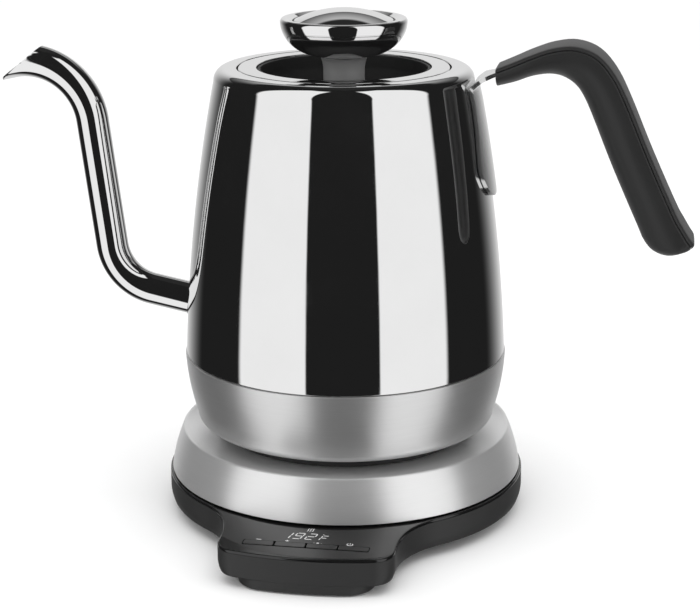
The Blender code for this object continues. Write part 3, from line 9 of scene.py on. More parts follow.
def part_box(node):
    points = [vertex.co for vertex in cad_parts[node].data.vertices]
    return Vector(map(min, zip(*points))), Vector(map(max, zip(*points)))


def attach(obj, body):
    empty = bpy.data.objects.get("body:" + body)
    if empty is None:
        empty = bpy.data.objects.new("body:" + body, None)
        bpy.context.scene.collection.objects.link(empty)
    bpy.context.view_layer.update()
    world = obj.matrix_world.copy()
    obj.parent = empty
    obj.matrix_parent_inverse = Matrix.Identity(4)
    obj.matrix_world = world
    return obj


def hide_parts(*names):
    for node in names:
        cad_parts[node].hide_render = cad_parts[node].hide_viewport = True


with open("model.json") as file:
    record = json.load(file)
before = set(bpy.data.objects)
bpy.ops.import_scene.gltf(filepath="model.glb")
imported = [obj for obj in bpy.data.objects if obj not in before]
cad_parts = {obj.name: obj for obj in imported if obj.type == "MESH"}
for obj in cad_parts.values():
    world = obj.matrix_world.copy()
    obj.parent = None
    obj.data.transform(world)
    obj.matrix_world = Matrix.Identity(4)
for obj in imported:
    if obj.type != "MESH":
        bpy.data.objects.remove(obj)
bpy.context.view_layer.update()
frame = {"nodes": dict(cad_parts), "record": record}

MM = 0.001

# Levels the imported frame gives, in mm
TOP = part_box("vessel")[1].z / MM                 # flat top of the kettle
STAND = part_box("bottom_cover")[0].z / MM         # plane the kettle stands on
BODY_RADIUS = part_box("vessel")[1].x / MM
COVER_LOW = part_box("base_cover")[0].z / MM
COVER_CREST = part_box("base_cover")[1].z / MM
PANEL_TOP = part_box("control_panel")[1].z / MM
GRIP_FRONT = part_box("grip_cover")[0].x / MM - 0.4

# Kettle body and band, heights above the standing plane
SEAM = 34.9
BODY_HEIGHT = TOP - STAND - SEAM
NECK_RADIUS = 44.0
LEDGE_RADIUS = 41.0
NECK_DEPTH = 10.1
SHOULDER = 5.0
BAND_LOW = 5.0
LIP_RADIUS = 53.15
BODY_TAPER = (5.0, 10.1)         # fall of the radius over the height, even and growing
BAND_TAPER = (1.2, 4.7)
BAND_PROUD = 0.45
BODY_WALL = 1.2
BAND_TURN = 4.0
FLOOR_DROP = 5.2

# Fineness of the turned and lofted pieces, and how near two corners are to be one
WELD = 0.002
STEPS_BIG = 224
STEPS_MID = 128
STEPS_SMALL = 48

# Base outline
HOUSING_RADIUS = 76.0
NOSE_FRONT = 103.0
NOSE_HALF_WIDTH = 35.2
NOSE_CROWN = 136.0
NOSE_CORNER = 9.0
NOSE_FILLET = 37.0
NOSE_SLOPE = 0.05
CHIN_LOW = 0.6
CHIN_INSET = 12.5
TUCK_LOW = 4.8
SHELF_RISE = 0.8
NOSE_HINGE = 69.0
HOUSING_TOP = 16.1
HOUSING_WALL = 2.5
CHIN_HALF_WIDTH = 27.5
CHIN_CORNER = 12.0
PANEL_HOLE = 65.0
CREST_RADIUS = 70.0
COVER_FLARE = 5.0
COVER_BOW = 2.4
COVER_WALL = 1.0
COVER_LIP = 1.2
DISH_LEVEL = 34.0

# Keys on the nose
KEY_ROW = NOSE_FRONT - 11.3
KEY_PITCH = 12.6
KEY_WIDTH = 12.0
KEY_DEPTH = 3.8
KEY_TALL = 2.2
KEY_PROUD = 0.3
KEY_CORNER = 0.7

# Knob on the lid, heights above the kettle's top
KNOB_RADIUS = 26.0
CAP_RADIUS = 20.3
CAP_LOW = 18.9
CAP_TOP = 23.6

# Sheet and tube
SPOUT_RADIUS = 6.85
SPOUT_WALL = 1.0
SPOUT_BENDS = (22.0, 28.0)
STRAP_THICK = 1.6
GAP = 0.3

# Camera and light
VIEW_TURN = math.radians(10.0)
VIEW_DISTANCE = 758.9
VIEW_HEIGHT = 311.5
VIEW_PITCH = 0.2887
VIEW_YAW = 0.00262
VIEW_ROLL = 0.0046
LENS = 95.77
LIGHT_NEAR = (25.3, 26.9)        # degrees from the view's axis where the soft lights begin
LIGHT_FAR = (76.5, 80.5)         # and where they end
LIGHT_TOP = (72.0, 76.0)         # degrees above the floor where they end
LIGHT_LEVEL = 0.92
WALL_EDGE = (122.0, 174.0)       # degrees from the view's axis over which the wall fades in
WALL_LEVELS = ((0.0, 0.74), (0.283, 0.78), (0.294, 0.05), (0.317, 0.16), (0.489, 0.50),
               (0.528, 0.01))    # share of a right angle above the floor, brightness
DARK_LEVEL = 0.014
DOME_LEVEL = 1.03
LAMP_AT = (0.15, -0.35, 1.6)
LAMP_SIZE = 1.6
LAMP_ENERGY = 9.0


# ---------------------------------------------------------------- shader maths

class Shade:
    """An output socket in a node tree. Operators on shades add Math nodes."""

    def __init__(self, tree, socket=None):
        self.tree = tree
        self.socket = socket

    def make(self, kind, settings=None, inputs=None, output=0):
        """Adds any node: its settings first, then the values or links of its sockets."""
        node = self.tree.nodes.new("ShaderNode" + kind)
        for name, value in (settings or {}).items():
            if name == "stops":
                ramp = node.color_ramp.elements
                while len(ramp) < len(value):
                    ramp.new(0.5)
                for stop, (place, colour) in zip(ramp, value):
                    stop.position = place
                    stop.color = (*colour, 1.0) if isinstance(colour, tuple) else (colour,) * 3 + (1.0,)
            else:
                setattr(node, name, value)
        for key, value in (inputs or {}).items():
            if isinstance(value, Shade):
                self.tree.links.new(value.socket, node.inputs[key])
            else:
                node.inputs[key].default_value = value
        return Shade(self.tree, node.outputs[output])

    def math(self, operation, *others):
        return self.make("Math", {"operation": operation}, dict(enumerate((self, *others))))

    def parts(self):
        """X, Y and Z of a vector shade."""
        node = self.tree.nodes.new("ShaderNodeSeparateXYZ")
        self.tree.links.new(self.socket, node.inputs[0])
        return [Shade(self.tree, node.outputs[index]) for index in range(3)]

    def __add__(self, other):
        return self.math("ADD", other)

    __radd__ = __add__

    def __sub__(self, other):
        return self.math("SUBTRACT", other)

    def __rsub__(self, other):
        return self.make("Math", {"operation": "SUBTRACT"}, {0: other, 1: self})

    def __mul__(self, other):
        return self.math("MULTIPLY", other)

    __rmul__ = __mul__

    def __truediv__(self, other):
        return self.math("DIVIDE", other)

    def smooth(self, low, high, start=0.0, end=1.0):
        """Goes smoothly from start to end as this value goes from low to high."""
        return self.make("MapRange", {"interpolation_type": "SMOOTHSTEP"},
                         {0: self, 1: low, 2: high, 3: start, 4: end})

    def noise(self, scale, detail=2.0, roughness=0.5):
        return self.make("TexNoise", {}, {"Vector": self, "Scale": scale, "Detail": detail,
                                          "Roughness": roughness})

    def blend(self, first, second):
        """Mixes two colours by this value."""
        return self.make("Mix", {"data_type": "RGBA"}, {0: self, 6: first, 7: second}, 2)


def grey(level, warm=0.0):
    return (level * (1.0 + warm), level, level * (1.0 - warm), 1.0)


def place_of(shade):
    return shade.make("TexCoord", output=3)


def finish_of(name, fixed, varied):
    """A Principled material. Fixed values sit on the sockets; varied(shade) gives the rest."""
    material = bpy.data.materials.new(name)
    material.use_nodes = True
    tree = material.node_tree
    shader = tree.nodes["Principled BSDF"]
    for key, value in fixed.items():
        shader.inputs[key].default_value = value
    for key, shade in varied(Shade(tree)).items():
        tree.links.new(shade.socket, shader.inputs[key])
    return material


def bump(shade, height, strength, distance):
    return shade.make("Bump", {}, {"Strength": strength, "Distance": distance, "Height": height})


def polished(shade):
    """Mirror polish with faint polishing waves and wiped patches."""
    place = place_of(shade)
    wipe = place.noise(38.0, 4.0, 0.6)
    hair = place.noise(900.0, 2.0)
    return {
        "Base Color": wipe.blend(grey(0.84), grey(0.90)),
        "Roughness": wipe.smooth(0.45, 0.75, 0.022, 0.05) + hair * 0.012,
        "Normal": bump(shade, place.noise(55.0, 1.0), 0.035, 0.0004),
    }


def ring_lines(shade, fine, along):
    """Noise drawn out into long scratches that run round the kettle's axis."""
    x, y, z = place_of(shade).parts()
    radius = (x * x + y * y).math("SQRT") + 0.0001
    across = (radius + z) * fine
    return shade.make("CombineXYZ", {}, {0: x / radius * along, 1: y / radius * along, 2: across})


def brushed(fine, along, low, high):
    def varied(shade):
        vector = ring_lines(shade, fine, along)
        lines = vector.noise(1.0, 3.0, 0.65)
        broad = ring_lines(shade, fine * 0.13, along * 0.6).noise(1.0, 2.0)
        return {
            "Base Color": (lines * 0.7 + broad * 0.3).blend(grey(low), grey(high)),
            "Roughness": lines * 0.14 + broad * 0.06 + 0.27,
            "Normal": bump(shade, lines, 0.16, 0.00012),
        }
    return varied


def drawn(shade):
    """Plain sheet steel with a fine rolled grain along one way."""
    x, y, z = place_of(shade).parts()
    grain = shade.make("CombineXYZ", {}, {0: x * 60.0, 1: y * 2600.0, 2: z * 2600.0}).noise(1.0, 2.0)
    return {
        "Base Color": grain.blend(grey(0.56), grey(0.68)),
        "Roughness": grain * 0.15 + 0.22,
        "Normal": bump(shade, grain, 0.12, 0.0001),
    }


def satin(shade):
    """Rolled sheet steel, lightly polished, with a faint cloudiness."""
    place = place_of(shade)
    cloud = place.noise(70.0, 3.0)
    return {
        "Base Color": cloud.blend(grey(0.66), grey(0.76)),
        "Roughness": cloud * 0.06 + place.noise(1400.0, 2.0) * 0.03 + 0.10,
        "Normal": bump(shade, place.noise(160.0, 2.0), 0.05, 0.0002),
    }


def moulded(level, rough, grain_scale, grain_depth):
    """Moulded plastic: spark-eroded grain, and a slight cloudiness of its shine."""
    def varied(shade):
        place = place_of(shade)
        cloud = place.noise(45.0, 3.0)
        grain = place.noise(grain_scale, 3.0, 0.6)
        return {
            "Base Color": cloud.blend(grey(level * 0.88), grey(level * 1.12)),
            "Roughness": cloud * 0.10 + grain * 0.06 + (rough - 0.08),
            "Normal": bump(shade, grain, 0.30, grain_depth),
        }
    return varied


def glossy(level):
    def varied(shade):
        place = place_of(shade)
        wipe = place.noise(60.0, 4.0, 0.65)
        return {
            "Base Color": wipe.blend(grey(level * 0.9), grey(level * 1.1)),
            "Roughness": wipe.smooth(0.4, 0.8, 0.045, 0.10),
            "Normal": bump(shade, place.noise(90.0, 1.0), 0.03, 0.0003),
        }
    return varied


def coloured(dark, light, rough, scale):
    def varied(shade):
        spots = place_of(shade).noise(scale, 3.0, 0.6)
        return {
            "Base Color": spots.blend((*dark, 1.0), (*light, 1.0)),
            "Roughness": spots * 0.12 + (rough - 0.06),
            "Normal": bump(shade, spots, 0.2, 0.00008),
        }
    return varied


FINISHES = {
    "polished_steel": finish_of("polished_steel", {"Metallic": 1.0}, polished),
    "brushed_steel": finish_of("brushed_steel", {
        "Metallic": 0.86, "Anisotropic": 0.75, "Anisotropic Rotation": 0.25,
    }, brushed(5200.0, 5.0, 0.70, 0.84)),
    # A lighter, less metallic copy of the brushed steel for the base cover. Its raised colour is
    # painted light, standing in for the brighter overhead light that falls on the cover.
    "brushed_cover": finish_of("brushed_cover", {
        "Metallic": 0.76, "Anisotropic": 0.70, "Anisotropic Rotation": 0.25,
    }, brushed(5200.0, 5.0, 0.84, 0.94)),
    "satin_strap": finish_of("satin_strap", {"Metallic": 0.95}, satin),
    "plain_steel": finish_of("plain_steel", {"Metallic": 1.0}, drawn),
    "brass_contact": finish_of("brass_contact", {"Metallic": 1.0},
                               coloured((0.66, 0.46, 0.18), (0.84, 0.64, 0.30), 0.26, 500.0)),
    "black_plastic": finish_of("black_plastic", {"Specular IOR Level": 0.38},
                               moulded(0.027, 0.52, 2600.0, 0.00003)),
    "gloss_panel": finish_of("gloss_panel", {"Coat Weight": 0.35, "Coat Roughness": 0.03},
                             glossy(0.008)),
    "soft_grip": finish_of("soft_grip", {"Specular IOR Level": 0.42, "Sheen Weight": 0.05},
                           moulded(0.016, 0.46, 3600.0, 0.00005)),
    "grey_stem": finish_of("grey_stem", {"Metallic": 0.30},
                           moulded(0.44, 0.42, 3000.0, 0.00002)),
    "rubber": finish_of("rubber", {}, moulded(0.03, 0.72, 2200.0, 0.0001)),
    "silicone": finish_of("silicone", {"Subsurface Weight": 0.1},
                          coloured((0.40, 0.40, 0.41), (0.50, 0.50, 0.51), 0.5, 700.0)),
    "circuit_board": finish_of("circuit_board", {},
                               coloured((0.02, 0.10, 0.05), (0.04, 0.17, 0.08), 0.42, 900.0)),
}


def lit(shade):
    glow = place_of(shade).noise(1500.0, 1.0)
    return {"Emission Color": glow.blend(grey(0.85), grey(1.0))}


DIGIT_LIGHT = finish_of("digit_light", {
    "Base Color": grey(0.25), "Roughness": 0.4, "Emission Strength": 0.55,
}, lit)


# ---------------------------------------------------------------- making pieces

def link(bm, name, look=None):
    """Puts a bmesh into the scene as an object, smooth all over when it has a finish."""
    if look:
        for face in bm.faces:
            face.smooth = True
    mesh = bpy.data.meshes.new(name)
    bm.to_mesh(mesh)
    bm.free()
    obj = bpy.data.objects.new(name, mesh)
    bpy.context.scene.collection.objects.link(obj)
    if look:
        mesh.materials.append(look)
    return obj


def clean(bm):
    """Welds what meets and turns every face outward."""
    bmesh.ops.remove_doubles(bm, verts=bm.verts, dist=WELD * MM)
    bmesh.ops.recalc_face_normals(bm, faces=bm.faces)


def even_shading(obj):
    """Lets the large faces lead the shading, so that rounded edges read as soft."""
    weighted = obj.modifiers.new("even_shading", "WEIGHTED_NORMAL")
    weighted.weight = 80
    weighted.keep_sharp = True


def settle(bm, name, look, body, nodes, weigh=True):
    """Turns a bmesh into a finished piece that rides on its body and stands for its nodes."""
    clean(bm)
    obj = link(bm, name, look)
    if weigh:
        even_shading(obj)
    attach(obj, body)
    if nodes:
        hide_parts(*nodes)
    return obj


def thicken(obj, thick, offset, edge, limit):
    """Gives an open surface its wall, soft edges and even shading."""
    wall = obj.modifiers.new("wall", "SOLIDIFY")
    wall.thickness = thick * MM
    wall.offset = offset
    wall.use_even_offset = True
    rim = obj.modifiers.new("rim", "BEVEL")
    rim.width = edge * MM
    rim.segments = 3
    rim.limit_method = "ANGLE"
    rim.angle_limit = math.radians(limit)
    even_shading(obj)


def cut(obj, bm, sharp):
    """Cuts a bmesh's closed shapes out of a piece. Edges over an angle, in degrees, stay crisp."""
    tool = link(bm, obj.name + "_tool")
    modifier = obj.modifiers.new("cut", "BOOLEAN")
    modifier.operation = "DIFFERENCE"
    modifier.solver = "EXACT"
    modifier.object = tool
    graph = bpy.context.evaluated_depsgraph_get()
    graph.update()
    made = bpy.data.meshes.new_from_object(obj.evaluated_get(graph))
    obj.modifiers.clear()
    obj.data = made
    bpy.data.objects.remove(tool)
    made.set_sharp_from_angle(angle=math.radians(sharp))


def round_edges(bm, edges, size, segments):
    bmesh.ops.bevel(bm, geom=edges, offset=size * MM, offset_type="OFFSET", segments=segments,
                    profile=0.5, affect="EDGES", material=-1)


def block(bm, size, corner):
    """A box in mm about the origin, with its upright edges rounded."""
    bmesh.ops.create_cube(bm, size=1.0)
    bmesh.ops.scale(bm, vec=Vector(size) * MM, verts=bm.verts)
    upright = [edge for edge in bm.edges if abs(edge.verts[0].co.z - edge.verts[1].co.z) > MM]
    round_edges(bm, upright, corner, 5)


def wire(bm, profile, base=0.0, closed=False):
    """A run of edges in the XZ plane. Each corner is (radius, height[, rounding]) in mm; a
    rounding is how far before and after the corner its curve starts."""
    verts = []
    rounded = {}
    for radius, height, *rounding in profile:
        vert = bm.verts.new((radius * MM, 0.0, (base + height) * MM))
        verts.append(vert)
        if rounding:
            rounded.setdefault(rounding[0], []).append(vert)
    for first, second in zip(verts, verts[1:]):
        bm.edges.new((first, second))
    if closed:
        bm.edges.new((verts[-1], verts[0]))
    for size, corners in rounded.items():
        bmesh.ops.bevel(bm, geom=corners, offset=size * MM, offset_type="OFFSET",
                        segments=3 if size < 0.5 else 6, profile=0.5, affect="VERTICES", material=-1)


def spin_round(bm, steps, at=(0.0, 0.0)):
    bmesh.ops.spin(bm, geom=list(bm.verts) + list(bm.edges), cent=(0.0, 0.0, 0.0),
                   axis=(0.0, 0.0, 1.0), dvec=(0.0, 0.0, 0.0), angle=math.tau, steps=steps,
                   use_merge=True, use_duplicate=False)
    bmesh.ops.translate(bm, vec=Vector((at[0] * MM, at[1] * MM, 0.0)), verts=bm.verts)


def turned(name, body, slot, profile, nodes=None, base=0.0, steps=STEPS_MID, at=(0.0, 0.0)):
    """A turned piece. A profile that starts on the axis ends on it; any other is a ring."""
    bm = bmesh.new()
    wire(bm, profile, base, profile[0][0] > 0.0)
    spin_round(bm, steps, at)
    return settle(bm, name, FINISHES[slot], body, nodes or [name])


def skin(bm, rings, closed=False):
    """Draws one loop out from ring to ring, all of equal length. A closed skin runs back to its
    first ring and is welded there; an open one has its ends filled."""
    verts = [bm.verts.new(Vector(point) * MM) for point in rings[0]]
    rim = [bm.edges.new((verts[i - 1], verts[i])) for i in range(len(verts))]
    start = rim
    for ring in rings[1:] + (rings[:1] if closed else []):
        made = bmesh.ops.extrude_edge_only(bm, edges=rim)["geom"]
        fresh = {item for item in made if isinstance(item, bmesh.types.BMVert)}
        verts = [next(edge.other_vert(vert) for edge in vert.link_edges
                      if edge.other_vert(vert) in fresh) for vert in verts]
        for vert, point in zip(verts, ring):
            vert.co = Vector(point) * MM
        rim = [item for item in made if isinstance(item, bmesh.types.BMEdge)
               and item.verts[0] in fresh and item.verts[1] in fresh]
    if not closed:
        bmesh.ops.edgeloop_fill(bm, edges=start)
        bmesh.ops.edgeloop_fill(bm, edges=rim)


def arc(centre, radius, start, end, count):
    points = []
    for index in range(count + 1):
        angle = math.radians(start + (end - start) * index / count)
        points.append((centre[0] + radius * math.cos(angle), centre[1] + radius * math.sin(angle)))
    return points


def spline(rows, fill):
    """Catmull-Rom rows between rows of numbers, so that a few stations give a smooth run."""
    made = []
    for index in range(len(rows) - 1):
        before = rows[max(index - 1, 0)]
        after = rows[min(index + 2, len(rows) - 1)]
        for step in range(fill):
            t = step / fill
            made.append(tuple(
                0.5 * (2.0 * b + (c - a) * t + (2.0 * a - 5.0 * b + 4.0 * c - d) * t * t
                       + (3.0 * b - a - 3.0 * c + d) * t ** 3)
                for a, b, c, d in zip(before, rows[index], rows[index + 1], after)))
    made.append(tuple(rows[-1]))
    return made


# ---------------------------------------------------------------- kettle body

def body_radius(height):
    share = (height - SEAM) / BODY_HEIGHT
    return BODY_RADIUS - BODY_TAPER[0] * share - BODY_TAPER[1] * share * share


def band_radius(height):
    share = (SEAM - height) / (SEAM - BAND_LOW)
    return BODY_RADIUS + BAND_PROUD - BAND_TAPER[0] * share - BAND_TAPER[1] * share * share


def body_shell():
    top = TOP - STAND
    shoulder = top - SHOULDER
    flat = body_radius(shoulder) - SHOULDER
    rows = 36
    heights = [shoulder + (SEAM + 0.3 - shoulder) * row / rows for row in range(rows + 1)]
    profile = [(NECK_RADIUS, top - NECK_DEPTH, 0.3), (NECK_RADIUS, top, 0.45)]
    profile += arc((flat, shoulder), SHOULDER, 90.0, 0.0, 14)
    profile += [(body_radius(h), h) for h in heights[1:-1]]
    profile += [(body_radius(heights[-1]), heights[-1], 0.35)]
    step = BODY_RADIUS - 1.4
    wall = BODY_WALL
    profile += [(step, SEAM + 0.3), (step, SEAM - 7.2), (step - wall, SEAM - 7.2),
                (step - wall, SEAM + 1.5)]
    profile += [(body_radius(h) - wall, h) for h in reversed(heights[2:-1])]
    profile += arc((flat, shoulder), SHOULDER - wall, 0.0, 90.0, 8)
    profile += [(NECK_RADIUS + wall, top - wall, 0.6), (NECK_RADIUS + wall, top - NECK_DEPTH - wall),
                (LEDGE_RADIUS, top - NECK_DEPTH - wall, 0.3), (LEDGE_RADIUS, top - NECK_DEPTH, 0.3)]
    turned("polished_body", "kettle", "polished_steel", profile, ["vessel"], STAND, STEPS_BIG)


def lower_band():
    lowest = BAND_LOW + BAND_TURN
    rows = 12
    heights = [SEAM + (lowest - SEAM) * row / rows for row in range(rows + 1)]
    turn = (band_radius(lowest) - BAND_TURN, lowest)
    profile = [(band_radius(SEAM), SEAM, 0.4)]
    profile += [(band_radius(h), h) for h in heights[1:]]
    profile += arc(turn, BAND_TURN, 0.0, -90.0, 10)[1:]
    profile += [(LIP_RADIUS, BAND_LOW, 0.25), (LIP_RADIUS, BAND_LOW + BODY_WALL, 0.25)]
    profile += arc(turn, BAND_TURN - BODY_WALL, -90.0, 0.0, 6)
    profile += [(band_radius(h) - BODY_WALL, h) for h in reversed(heights[1:-1])]
    profile += [(band_radius(SEAM) - BODY_WALL, SEAM, 0.2)]
    turned("brushed_band", "kettle", "brushed_steel", profile, ["lower_band"], STAND, STEPS_BIG)


def kettle_underside():
    turned("kettle_foot", "kettle", "black_plastic", [
        (50.85, 11.0, 0.3), (52.85, 11.0, 0.3), (52.85, 0.0, 0.5), (50.85, 0.0, 0.5),
        (50.85, 4.0, 0.4), (19.2, 4.0, 0.4), (19.2, 6.0, 0.4), (50.85, 6.0),
    ], ["bottom_cover"], STAND)
    floor = SEAM - FLOOR_DROP
    turned("kettle_floor", "kettle", "plain_steel", [
        (0.0, floor), (62.7, floor, 1.6), (63.7, floor + 6.0, 0.3), (64.7, floor + 6.0, 0.3),
        (64.7, floor - 2.0, 0.4), (0.0, floor - 2.0),
    ], ["heater_plate"], STAND)
    turned("probe_tube", "kettle", "plain_steel", [
        (0.0, floor + 12.0), (3.0, floor + 12.0, 2.4), (3.0, floor - 6.9, 0.2), (0.0, floor - 6.9),
    ], ["temperature_probe"], STAND, STEPS_SMALL, (22.0, 0.0))


def power_socket():
    bore = 8.6
    groove = bore + 1.4
    turned("socket_shell", "kettle_socket", "black_plastic", [
        (0.0, 16.0), (18.6, 16.0, 0.6), (18.6, 8.8), (23.0, 8.8, 0.3), (23.0, 6.6, 0.3),
        (18.6, 6.6), (18.6, 1.5, 0.6), (bore, 1.5, 0.6), (bore, 6.0), (groove, 6.0),
        (groove, 8.0), (bore, 8.0), (bore, 13.3, 0.5), (0.0, 13.3),
    ], ["socket_body"], STAND, 96)
    contact("socket_ring", "kettle_socket", 8.9, "socket_contact")


def contact(name, body, inner, node):
    turned(name, body, "brass_contact", [
        (inner, 7.7, 0.2), (inner + 0.8, 7.7, 0.2), (inner + 0.8, 6.3, 0.2), (inner, 6.3, 0.2),
    ], [node], STAND, 96)


# ---------------------------------------------------------------- spout

def spout():
    """One tube drawn round two bends, cut to a beak, with a weld bead where it meets the body."""
    root = Vector((-(BODY_RADIUS - 4.6), 0.0, STAND + 52.4))
    low = Vector((-(BODY_RADIUS + 32.1), 0.0, STAND + 59.7))
    high = Vector((-(BODY_RADIUS + 44.1), 0.0, TOP + 5.5))
    tip = high + Vector((-38.0, 0.0, -8.5))
    bm = bmesh.new()
    into = (low - root).normalized()
    turn = Matrix.Translation(root * MM) @ into.to_track_quat("Z", "Y").to_matrix().to_4x4()
    bmesh.ops.create_circle(bm, segments=64, radius=SPOUT_RADIUS * MM, matrix=turn)
    rim = list(bm.edges)
    at = root
    for before, corner, after, radius in ((root, low, high, SPOUT_BENDS[0]),
                                          (low, high, tip, SPOUT_BENDS[1])):
        into = (corner - before).normalized()
        out = (after - corner).normalized()
        bend = into.angle(out)
        reach = radius * math.tan(bend / 2.0)
        start = corner - into * reach
        rim = stretch(bm, rim, start - at, 3)
        centre = corner + (out - into).normalized() * (radius / math.cos(bend / 2.0))
        made = bmesh.ops.spin(bm, geom=rim, cent=centre * MM, axis=into.cross(out).normalized(),
                              dvec=(0.0, 0.0, 0.0), angle=bend, steps=28, use_duplicate=False)
        rim = [item for item in made["geom_last"] if isinstance(item, bmesh.types.BMEdge)]
        at = corner + out * reach
    stretch(bm, rim, tip - at, 4)
    top = Vector((-(BODY_RADIUS + 61.1), 0.0, TOP + 5.7))
    end = Vector((-(BODY_RADIUS + 78.5), 0.0, TOP - 9.0))
    along = (end - top).normalized()
    outward = Vector((along.z, 0.0, -along.x))
    bmesh.ops.bisect_plane(bm, geom=list(bm.verts) + list(bm.edges) + list(bm.faces), dist=1e-7,
                           plane_co=top * MM, plane_no=outward, clear_outer=True)
    clean(bm)
    obj = link(bm, "gooseneck", FINISHES["polished_steel"])
    thicken(obj, SPOUT_WALL, -1.0, 0.28, 35.0)
    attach(obj, "kettle")
    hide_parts("spout")

    into = (low - root).normalized()
    height = SEAM + 18.8
    reach = body_radius(height)
    share = (reach + root.x) / -into.x
    seat = root + into * share
    bm = bmesh.new()
    bmesh.ops.create_circle(bm, segments=10, radius=0.75 * MM,
                            matrix=Matrix.Translation((SPOUT_RADIUS * MM, 0.0, 0.0))
                            @ Matrix.Rotation(math.pi / 2.0, 4, "X"))
    spin_round(bm, 96)
    pose = Matrix.Translation(seat * MM) @ into.to_track_quat("Z", "Y").to_matrix().to_4x4()
    bmesh.ops.transform(bm, matrix=pose, verts=bm.verts)
    for vert in bm.verts:
        vert.co.x += vert.co.y * vert.co.y / (2.0 * reach * MM)
    settle(bm, "spout_weld", FINISHES["polished_steel"], "kettle", [])


def stretch(bm, rim, offset, count):
    """Extrudes a loop of edges along a straight run, in a few rows."""
    for _ in range(count):
        made = bmesh.ops.extrude_edge_only(bm, edges=rim)
        fresh = [item for item in made["geom"] if isinstance(item, bmesh.types.BMVert)]
        bmesh.ops.translate(bm, vec=offset * (MM / count), verts=fresh)
        rim = [item for item in made["geom"] if isinstance(item, bmesh.types.BMEdge)]
    return rim


# ---------------------------------------------------------------- handle

GRIP_STATIONS = (
    (0.9, -6.3, 0.4, 1.7, 0.86), (8.0, -4.4, 7.2, 4.6, 0.94), (14.9, -1.9, 14.2, 7.7, 1.0),
    (21.8, -0.9, 22.8, 10.7, 1.0), (27.3, -2.0, 32.0, 11.6, 1.0), (32.3, -5.4, 41.0, 8.4, 1.0),
    (35.8, -10.5, 48.2, 0.6, 1.0), (39.6, -18.8, 54.3, -11.0, 1.0),
    (47.8, -38.4, 63.5, -32.1, 1.0), (58.4, -61.7, 74.1, -54.7, 1.0),
    (61.4, -68.1, 77.5, -60.7, 1.0), (65.1, -72.3, 80.1, -64.9, 0.97),
    (70.5, -74.1, 81.7, -67.1, 0.88), (76.5, -72.7, 82.0, -68.8, 0.66),
)
GRIP_HALF_WIDTH = 12.5
COVER_THICK = 1.6


def grip_rings(shape):
    rings = []
    for inner_x, inner_z, outer_x, outer_z, width in spline(GRIP_STATIONS, 5):
        inner = Vector((GRIP_FRONT + inner_x, 0.0, TOP + inner_z))
        outer = Vector((GRIP_FRONT + outer_x, 0.0, TOP + outer_z))
        thick = (outer - inner).length
        inward = (inner - outer).normalized()
        half = shape(thick, GRIP_HALF_WIDTH * width)
        whole = half + [(depth, -across) for depth, across in reversed(half)]
        rings.append([outer + inward * depth + Vector((0.0, across, 0.0)) for depth, across in whole])
    return rings


def shell_half(thick, half):
    """Half section of the grip's body, from its flat outer face round to its inner side."""
    face = COVER_THICK + 0.1
    side = min(0.42 * thick, face + 3.0)
    points = [(face, 0.5), (face, half - 1.6), (face, half - 0.9), (face + 0.18, half - 0.42),
              (face + 0.5, half - 0.12), (face + 1.0, half)]
    for step in range(13):
        angle = math.radians(7.0 * step)
        points.append((side + (thick - side) * math.sin(angle), half * math.cos(angle)))
    points.append((thick, half * 0.02))
    return points


def cover_half(thick, half):
    """Half section of the strip along the grip's back, slightly crowned with soft edges."""
    edge = half - 0.3
    return [(0.0, 0.5), (0.02, edge * 0.4), (0.08, edge * 0.7), (0.16, edge - 2.0),
            (0.30, edge - 1.2), (0.55, edge - 0.6), (0.90, edge - 0.22), (1.30, edge - 0.02),
            (COVER_THICK - 0.12, edge), (COVER_THICK, edge - 0.14), (COVER_THICK, 0.5)]


def grip():
    for name, shape, node in (("grip_body", shell_half, "grip_shell"),
                              ("grip_back", cover_half, "grip_cover")):
        bm = bmesh.new()
        skin(bm, grip_rings(shape))
        ends = [face for face in bm.faces if len(face.verts) > 4]
        edges = {edge for face in ends for edge in face.edges}
        bmesh.ops.bevel(bm, geom=list(edges), offset=0.5 * MM, offset_type="OFFSET", segments=4,
                        profile=0.5, affect="EDGES", material=-1, clamp_overlap=True)
        settle(bm, name, FINISHES["soft_grip"], "kettle", [node])


def handle_strap():
    """A steel sheet: its pad is rolled to the body, and its narrowed tang goes into the grip."""
    pad = ((51.4, 1.0), (51.2, 4.0), (50.6, 6.6), (49.6, 8.4), (47.9, 11.2), (45.6, 13.4),
           (42.4, 15.4), (39.0, 16.4), (35.0, 16.2), (31.2, 15.4), (23.0, 13.4), (13.0, 12.2),
           (6.8, 12.0))
    tang = ((-6.2, -3.0, 11.6), (-3.0, -1.5, 9.0), (0.0, -0.5, 6.3), (8.0, 2.3, 6.0),
            (15.0, 5.0, 6.0), (23.0, 8.2, 5.5))
    rows = [(body_radius(TOP - STAND - drop) + GAP, TOP - drop, half, 1.0) for drop, half in pad]
    rows += [(GRIP_FRONT + reach, TOP + rise, half, 0.0) for reach, rise, half in tang]
    rows = spline(rows, 3)
    columns = 24
    bm = bmesh.new()
    bmesh.ops.create_grid(bm, x_segments=columns, y_segments=len(rows) - 1, size=0.5)
    for vert in bm.verts:
        column = vert.co.x * 2.0
        radius, height, half, wrap = rows[round((vert.co.y + 0.5) * (len(rows) - 1))]
        across = column * half
        bent = math.sqrt(radius * radius - across * across)
        share = min(1.0, max(0.0, wrap))
        vert.co = Vector((bent * share + radius * (1.0 - share), across, height)) * MM
    bmesh.ops.recalc_face_normals(bm, faces=bm.faces)
    if sum(face.normal.x for face in bm.faces) < 0.0:
        bmesh.ops.reverse_faces(bm, faces=bm.faces)
    obj = link(bm, "strap", FINISHES["satin_strap"])
    thicken(obj, STRAP_THICK, 1.0, 0.35, 50.0)
    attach(obj, "kettle")
    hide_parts("handle_strap")


# ---------------------------------------------------------------- lid and flow knob

